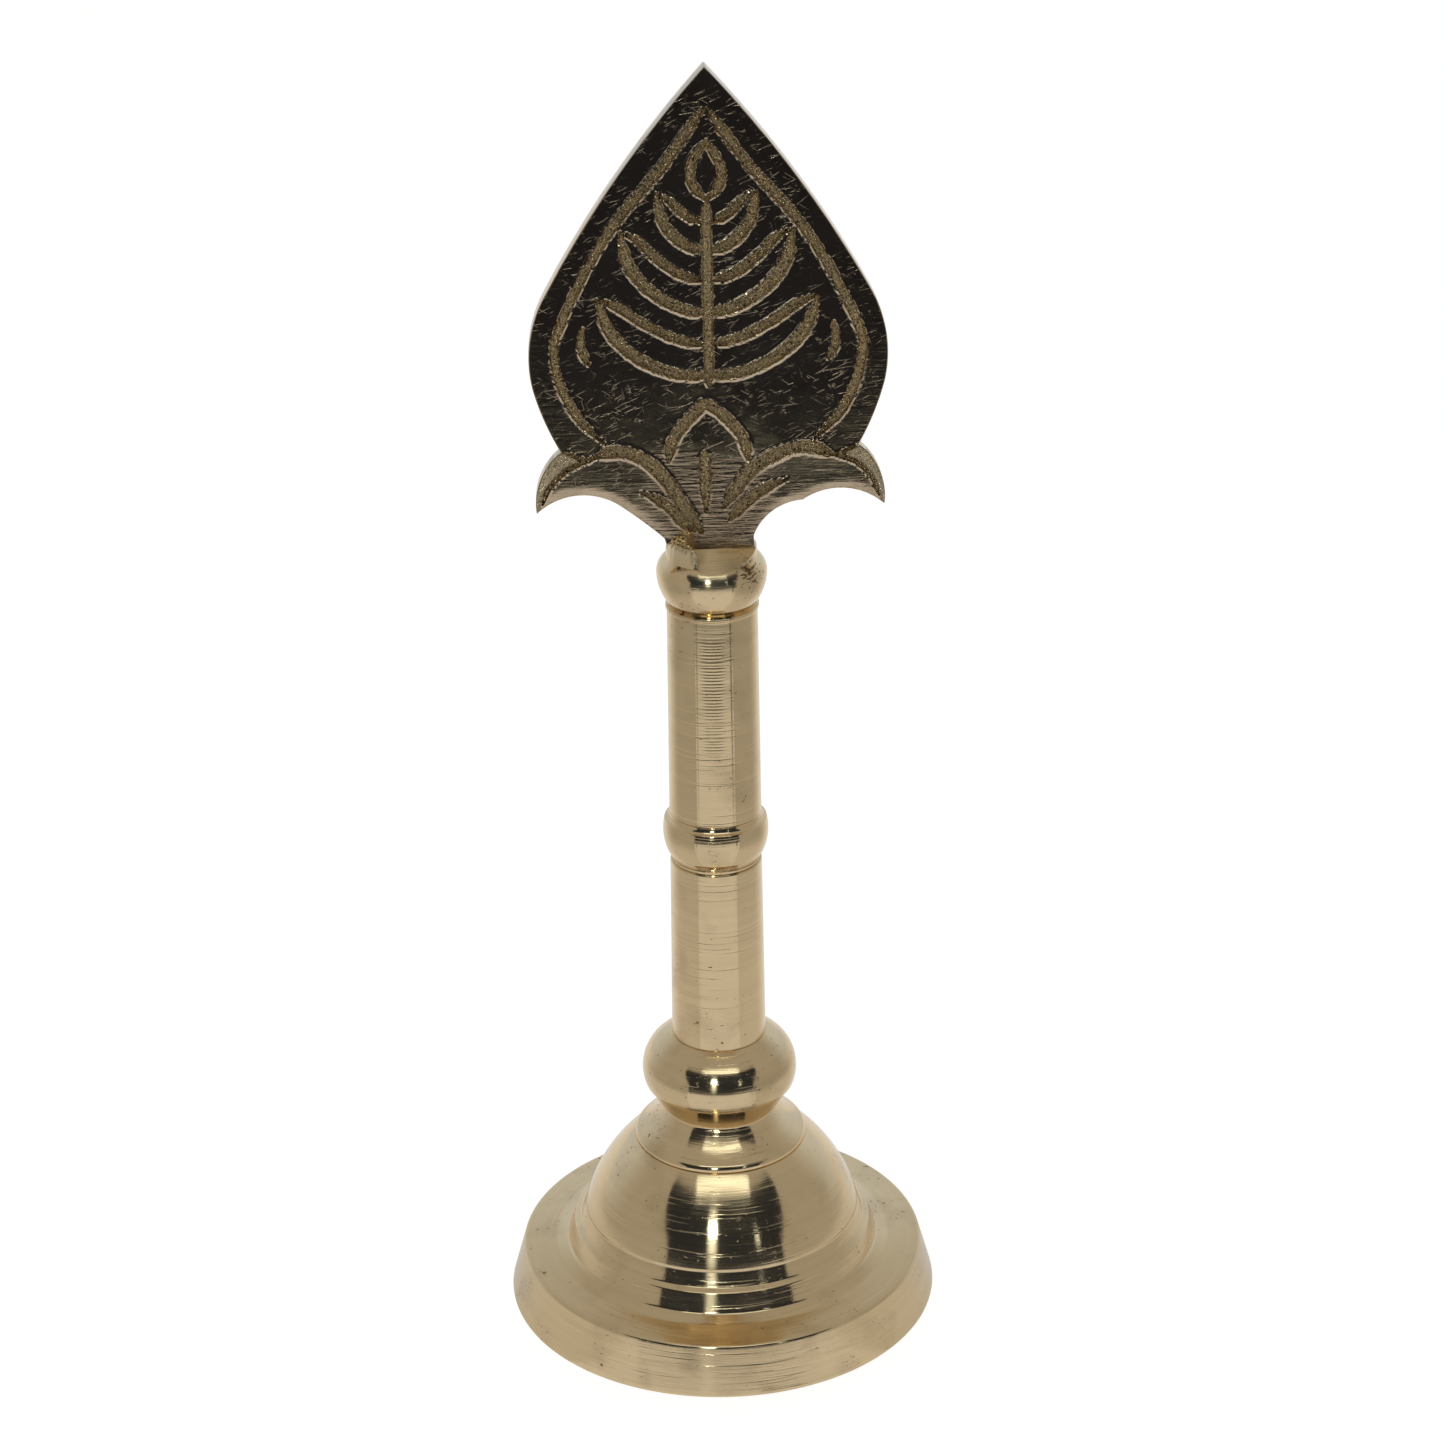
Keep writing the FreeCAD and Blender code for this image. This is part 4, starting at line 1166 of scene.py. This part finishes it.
class LEAFSTAND_OT_fastening(bpy.types.Operator):
    """Makes the threaded rod and the flat washer, and gives the spring washer and the nut under
    the dome their steel finish
    """
    bl_idname = "leafstand.fastening"
    bl_label = "Rod, nut and washers"

    def execute(self, context):
        steel = finish("zinc_plated_steel", plated_steel)
        rod = half_width("tie_rod")
        low, high = level("tie_rod", False), level("tie_rod", True)
        turned("threaded_rod", "tie_rod", [
            (0, low, 0, 0),
            (rod - 0.5, low, 0, 0),
            (rod, low + 0.5, 0, 0),
            (rod, high - 0.5, 0, 0),
            (rod - 0.5, high, 0, 0),
            (0, high, 0, 0),
        ], 71, steel, step=0.14, waviness=0, segments=40,
            thread=(low + 0.4, high - 0.4, rod - 0.1))
        washer = half_width("base_washer")
        bottom, top = level("base_washer", False), level("base_washer", True)
        turned("flat_washer", "base_washer", [
            (ROD_HOLE, bottom, 0.12, 0), (washer, bottom, 0.2, 0),
            (washer, top, 0.3, 0), (ROD_HOLE, top, 0.12, 0),
        ], 73, steel, waviness=0, segments=120)
        for node in ("spring_washer", "base_nut"):
            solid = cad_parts[node]
            solid.data.materials.clear()
            solid.data.materials.append(steel)
        return {"FINISHED"}


# ------------------------------------------------------------------ stage

# The room as the metal mirrors it. Angles are in degrees from straight ahead
# of the stand, and distances in metres.
WALLS = (0.42, 0.414, 0.40)
DAYLIGHT = (0.63, 0.70, 0.80)
DARK_ROOM, DARK_STRENGTH = (0.85, 1, 1.3, 1), 0.034
# The sheet that the stand is on, then the table and the dark past its edge.
SHEET = (0.70, 0.717, 0.756, 1)
GROUND = ((0.0, SHEET), (0.27, SHEET), (0.29, (0.12, 0.135, 0.12, 1)),
          (0.36, (0.08, 0.092, 0.088, 1)), (0.37, (0.03, 0.031, 0.037, 1)),
          (0.40, (0.020, 0.021, 0.028, 1)))
GROUND_REACH = 0.5
# The glow that makes the lit paper white to the camera.
PAPER_GLOW = 0.66
# Name, azimuth, elevation, distance, width, height, brightness, the cells
# across and up its face, and how bright the cells' edges are, as a share.
LAMPS = (("led_panel", 0, 59, 0.9, 0.76, 0.22, 0.95, (18, 6), 0.55),
         ("small_lamp", -11, 26, 1.2, 0.16, 0.12, 24.0, (1, 1), 0.0),
         ("lamp_glow", -11, 17, 1.2, 0.20, 1.2, 0.62, (1, 1), 0.0),
         ("far_lamp", 28, 17, 1.2, 0.09, 0.12, 2.2, (1, 1), 0.0))
LAMP_COLOUR = (0.88, 0.98, 1.0)
LAMP_AIM = 0.09
# The camera stands a little to the left of straight ahead and looks down.
CAMERA_LENS = 87.2
CAMERA_PLACE = (1.2 * MM, -451.8 * MM, 297.7 * MM)
CAMERA_TURN, CAMERA_DOWN, CAMERA_ROLL = -2.5, 24.42, -0.85


class LEAFSTAND_OT_stage(bpy.types.Operator):
    """Lays the pale floor and sets the lights, the room and the camera"""
    bl_idname = "leafstand.stage"
    bl_label = "Stage"

    def execute(self, context):
        scene = context.scene
        scene.view_settings.view_transform = "Standard"
        lay_floor(scene)
        light_room(scene)
        set_camera(scene)
        return {"FINISHED"}


def lay_floor(scene):
    """White matt paper to the camera, and a grey table to the metal."""
    mesh = bpy.data.meshes.new("floor")
    reach = 3.0
    mesh.from_pydata([(-reach, -reach, 0), (reach, -reach, 0), (reach, reach, 0),
                      (-reach, reach, 0)], [], [(0, 1, 2, 3)])
    floor = new_piece("floor", mesh)
    material = bpy.data.materials.new("matt_paper")
    material.use_nodes = True
    tree = material.node_tree
    tree.nodes.clear()
    colour = (*scene.leafstand_colours.floor, 1)
    path = put(tree, "ShaderNodeLightPath").outputs
    paper = put(tree, "ShaderNodeBsdfDiffuse", {"Color": colour})
    glow = put(tree, "ShaderNodeEmission", {"Color": (1, 1, 1, 1), "Strength": PAPER_GLOW})
    seen = put(tree, "ShaderNodeAddShader", {0: paper.outputs[0], 1: glow.outputs[0]})
    # The sheet lies between grey walls that meet it at either side.
    place = put(tree, "ShaderNodeTexCoord").outputs["Object"]
    parts = put(tree, "ShaderNodeSeparateXYZ", {"Vector": place}).outputs
    ahead = put(tree, "ShaderNodeMath", {0: parts["Y"], 1: -1.0},
                operation="MULTIPLY").outputs[0]
    azimuth = put(tree, "ShaderNodeMath", {0: parts["X"], 1: ahead},
                  operation="ARCTAN2").outputs[0]
    aside = put(tree, "ShaderNodeMath", {0: azimuth}, operation="ABSOLUTE").outputs[0]
    away = put(tree, "ShaderNodeVectorMath", {0: place}, operation="LENGTH").outputs["Value"]
    reach_share = put(tree, "ShaderNodeMath", {0: away, 1: GROUND_REACH},
                      operation="DIVIDE").outputs[0]
    fading = put(tree, "ShaderNodeValToRGB", {"Fac": reach_share})
    stops = fading.color_ramp.elements
    stops[0].color = GROUND[0][1]
    stops[1].position, stops[1].color = GROUND[-1][0] / GROUND_REACH, GROUND[-1][1]
    for distance, shade in GROUND[1:-1]:
        stops.new(distance / GROUND_REACH).color = shade
    side = put(tree, "ShaderNodeMapRange", {"Value": away, "From Min": 0.11,
                                            "From Max": 0.19, "To Min": 0.60,
                                            "To Max": 0.41}).outputs[0]
    behind = put(tree, "ShaderNodeMapRange",
                 {"Value": aside, "From Min": math.radians(100),
                  "From Max": math.radians(150)}, interpolation_type="SMOOTHSTEP").outputs[0]
    side = put(tree, "ShaderNodeMix", {"Factor": behind, "A": side, "B": 0.8},
               data_type="FLOAT").outputs["Result"]
    beside = put(tree, "ShaderNodeMapRange",
                 {"Value": aside, "From Min": math.radians(47),
                  "From Max": math.radians(49)}, interpolation_type="SMOOTHSTEP").outputs[0]
    sheet = put(tree, "ShaderNodeMix", {"Factor": beside}, data_type="RGBA")
    tree.links.new(fading.outputs["Color"], sheet.inputs["A"])
    tree.links.new(side, sheet.inputs["B"])
    # Dark seams where the sheet meets the walls, faint on the left.
    seams = 0.0
    for angle, depth in ((42.5, 0.8), (-43.5, 0.45)):
        off = put(tree, "ShaderNodeMath", {0: azimuth, 1: math.radians(angle)},
                  operation="SUBTRACT").outputs[0]
        off = put(tree, "ShaderNodeMath", {0: off}, operation="ABSOLUTE").outputs[0]
        seam = put(tree, "ShaderNodeMapRange",
                   {"Value": off, "From Min": math.radians(0.8),
                    "From Max": math.radians(2.4), "To Min": 1.0, "To Max": 0.0},
                   interpolation_type="SMOOTHSTEP").outputs[0]
        seams = add_up(tree, seams, [(seam, depth)])
    far = put(tree, "ShaderNodeMapRange", {"Value": away, "From Min": 0.16,
                                           "From Max": 0.22}).outputs[0]
    seams = put(tree, "ShaderNodeMath", {0: seams, 1: far}, operation="MULTIPLY").outputs[0]
    kept = put(tree, "ShaderNodeMath", {0: 1.0, 1: seams}, operation="SUBTRACT").outputs[0]
    mirrored_sheet = put(tree, "ShaderNodeEmission", {"Color": sheet.outputs["Result"],
                                                      "Strength": kept})
    plain = put(tree, "ShaderNodeMixShader", {0: path["Is Camera Ray"], 1: paper.outputs[0],
                                              2: seen.outputs[0]})
    both = put(tree, "ShaderNodeMixShader", {0: path["Is Glossy Ray"], 1: plain.outputs[0],
                                             2: mirrored_sheet.outputs[0]})
    put(tree, "ShaderNodeOutputMaterial", {"Surface": both.outputs[0]})
    mesh.materials.append(material)


def light_room(scene):
    """White to the camera. The metal mirrors grey walls and a dark opening in
    front, a lamp panel high in front and a small lamp left of the camera."""
    world = bpy.data.worlds.new("studio")
    scene.world = world
    world.use_nodes = True
    tree = world.node_tree
    tree.nodes.clear()
    way = put(tree, "ShaderNodeTexCoord").outputs["Generated"]
    parts = put(tree, "ShaderNodeSeparateXYZ", {"Vector": way}).outputs
    front = put(tree, "ShaderNodeMath", {0: parts["Y"], 1: -1.0},
                operation="MULTIPLY").outputs[0]
    azimuth = put(tree, "ShaderNodeMath", {0: parts["X"], 1: front},
                  operation="ARCTAN2").outputs[0]
    aside = put(tree, "ShaderNodeMath", {0: azimuth}, operation="ABSOLUTE").outputs[0]
    height = put(tree, "ShaderNodeMath", {0: parts["Z"]}, operation="ARCSINE").outputs[0]
    behind = put(tree, "ShaderNodeMapRange",
                 {"Value": aside, "From Min": math.radians(95),
                  "From Max": math.radians(140)}, interpolation_type="SMOOTHSTEP").outputs[0]
    # The dark opening between the walls is wider near its top.
    half_opening = put(tree, "ShaderNodeMapRange",
                       {"Value": height, "From Min": math.radians(10),
                        "From Max": math.radians(46), "To Min": math.radians(47),
                        "To Max": math.radians(70)}).outputs[0]
    past = put(tree, "ShaderNodeMath", {0: aside, 1: half_opening},
               operation="SUBTRACT").outputs[0]
    across = put(tree, "ShaderNodeMapRange",
                 {"Value": past, "From Min": math.radians(-0.6),
                  "From Max": math.radians(0.8), "To Min": 1.0,
                  "To Max": 0.0}, interpolation_type="SMOOTHSTEP").outputs[0]
    below = put(tree, "ShaderNodeMapRange",
                {"Value": height, "From Min": math.radians(50), "From Max": math.radians(52),
                 "To Min": 1.0, "To Max": 0.0}, interpolation_type="SMOOTHSTEP").outputs[0]
    dark = put(tree, "ShaderNodeMath", {0: across, 1: below}, operation="MULTIPLY").outputs[0]
    # The ceiling and the side walls are grey; behind, daylight comes in.
    under_ceiling = put(tree, "ShaderNodeMapRange",
                        {"Value": height, "From Min": math.radians(24),
                         "From Max": math.radians(44), "To Min": 1.0,
                         "To Max": 0.0}).outputs[0]
    daylight = put(tree, "ShaderNodeMath", {0: behind, 1: under_ceiling},
                   operation="MULTIPLY").outputs[0]
    walls = put(tree, "ShaderNodeMix", {"Factor": daylight}, data_type="RGBA")
    mix_colours(walls, WALLS, DAYLIGHT)
    lit = put(tree, "ShaderNodeBackground", {"Color": walls.outputs["Result"],
                                             "Strength": 1.0}).outputs[0]
    unlit = put(tree, "ShaderNodeBackground", {"Color": DARK_ROOM,
                                               "Strength": DARK_STRENGTH}).outputs[0]
    reflected = put(tree, "ShaderNodeMixShader", {0: dark, 1: lit, 2: unlit}).outputs[0]
    white = put(tree, "ShaderNodeBackground", {"Color": (1, 1, 1, 1),
                                               "Strength": 1.0}).outputs[0]
    seen = put(tree, "ShaderNodeLightPath").outputs["Is Camera Ray"]
    both = put(tree, "ShaderNodeMixShader", {0: seen, 1: reflected, 2: white}).outputs[0]
    put(tree, "ShaderNodeOutputWorld", {"Surface": both})
    for lamp in LAMPS:
        add_lamp(scene, *lamp)


def add_lamp(scene, name, azimuth, elevation, distance, width, height, brightness,
             cells, least):
    """An area light that faces the stand, with a face of cells that are
    bright in the middle."""
    lamp = bpy.data.lights.new(name, "AREA")
    lamp.shape = "RECTANGLE"
    lamp.size, lamp.size_y = width, height
    lamp.energy = brightness * math.pi * width * height
    lamp.color = LAMP_COLOUR
    lamp.use_nodes = True
    tree = lamp.node_tree
    tree.nodes.clear()
    place = put(tree, "ShaderNodeNewGeometry").outputs["Parametric"]
    parts = put(tree, "ShaderNodeSeparateXYZ", {"Vector": place}).outputs
    waves = []
    for axis, count in zip("XY", cells):
        wave = put(tree, "ShaderNodeMath", {0: parts[axis], 1: math.pi * count},
                   operation="MULTIPLY").outputs[0]
        wave = put(tree, "ShaderNodeMath", {0: wave}, operation="SINE").outputs[0]
        waves.append(put(tree, "ShaderNodeMath", {0: wave}, operation="ABSOLUTE").outputs[0])
    glow = put(tree, "ShaderNodeMath", {0: waves[0], 1: waves[1]},
               operation="MULTIPLY").outputs[0]
    strength = put(tree, "ShaderNodeMapRange", {"Value": glow, "To Min": 2 * least,
                                                "To Max": 2.0}).outputs[0]
    light = put(tree, "ShaderNodeEmission", {"Strength": strength})
    put(tree, "ShaderNodeOutputLight", {"Surface": light.outputs[0]})
    obj = bpy.data.objects.new(name, lamp)
    scene.collection.objects.link(obj)
    turn, up = math.radians(azimuth), math.radians(elevation)
    aim = Matrix.Translation((0, 0, LAMP_AIM))
    way = Matrix.Rotation(turn, 4, "Z") @ Matrix.Rotation(math.pi / 2 - up, 4, "X")
    obj.matrix_world = aim @ way @ Matrix.Translation((0, 0, distance))


def set_camera(scene):
    """A long lens that looks down on the stand."""
    camera = bpy.data.cameras.new("camera")
    camera.sensor_width = 36
    camera.lens = CAMERA_LENS
    camera.clip_start = 0.01
    obj = bpy.data.objects.new("camera", camera)
    scene.collection.objects.link(obj)
    round_object = Matrix.Rotation(math.radians(CAMERA_TURN), 4, "Z")
    look_down = Matrix.Rotation(math.radians(90 - CAMERA_DOWN), 4, "X")
    roll = Matrix.Rotation(math.radians(CAMERA_ROLL), 4, "Z")
    obj.matrix_world = round_object @ Matrix.Translation(CAMERA_PLACE) @ look_down @ roll
    scene.camera = obj


# ------------------------------------------------------------------ panel

class LEAFSTAND_PT_panel(bpy.types.Panel):
    """Lists the makers of the pieces and their sizes"""
    bl_idname = "LEAFSTAND_PT_panel"
    bl_label = "Brass leaf"
    bl_space_type = "VIEW_3D"
    bl_region_type = "UI"
    bl_category = "Brass leaf"

    def draw(self, context):
        scene = context.scene
        for title, group in (("Turned pieces", scene.leafstand_turned),
                             ("Leaf", scene.leafstand_leaf),
                             ("Thread", scene.leafstand_thread),
                             ("Colours", scene.leafstand_colours)):
            box = self.layout.box()
            box.label(text=title)
            for name in group.__annotations__:
                box.prop(group, name)
        for maker in MAKERS:
            self.layout.operator(maker.bl_idname)


GROUPS = (("leafstand_turned", TurnedSizes), ("leafstand_leaf", LeafSizes),
          ("leafstand_thread", ThreadSizes), ("leafstand_colours", Colours))
MAKERS = (LEAFSTAND_OT_foot, LEAFSTAND_OT_column, LEAFSTAND_OT_top_bead, LEAFSTAND_OT_leaf,
          LEAFSTAND_OT_fastening, LEAFSTAND_OT_stage)


def register():
    for name, group in GROUPS:
        bpy.utils.register_class(group)
        setattr(bpy.types.Scene, name, PointerProperty(type=group))
    for kind in MAKERS + (LEAFSTAND_PT_panel,):
        bpy.utils.register_class(kind)


def unregister():
    for kind in reversed(MAKERS + (LEAFSTAND_PT_panel,)):
        bpy.utils.unregister_class(kind)
    for name, group in reversed(GROUPS):
        delattr(bpy.types.Scene, name)
        bpy.utils.unregister_class(group)


def main():
    register()
    bpy.ops.leafstand.foot()
    bpy.ops.leafstand.column()
    bpy.ops.leafstand.top_bead()
    bpy.ops.leafstand.leaf()
    bpy.ops.leafstand.fastening()
    bpy.ops.leafstand.stage()


if __name__ == "__main__":
    main()
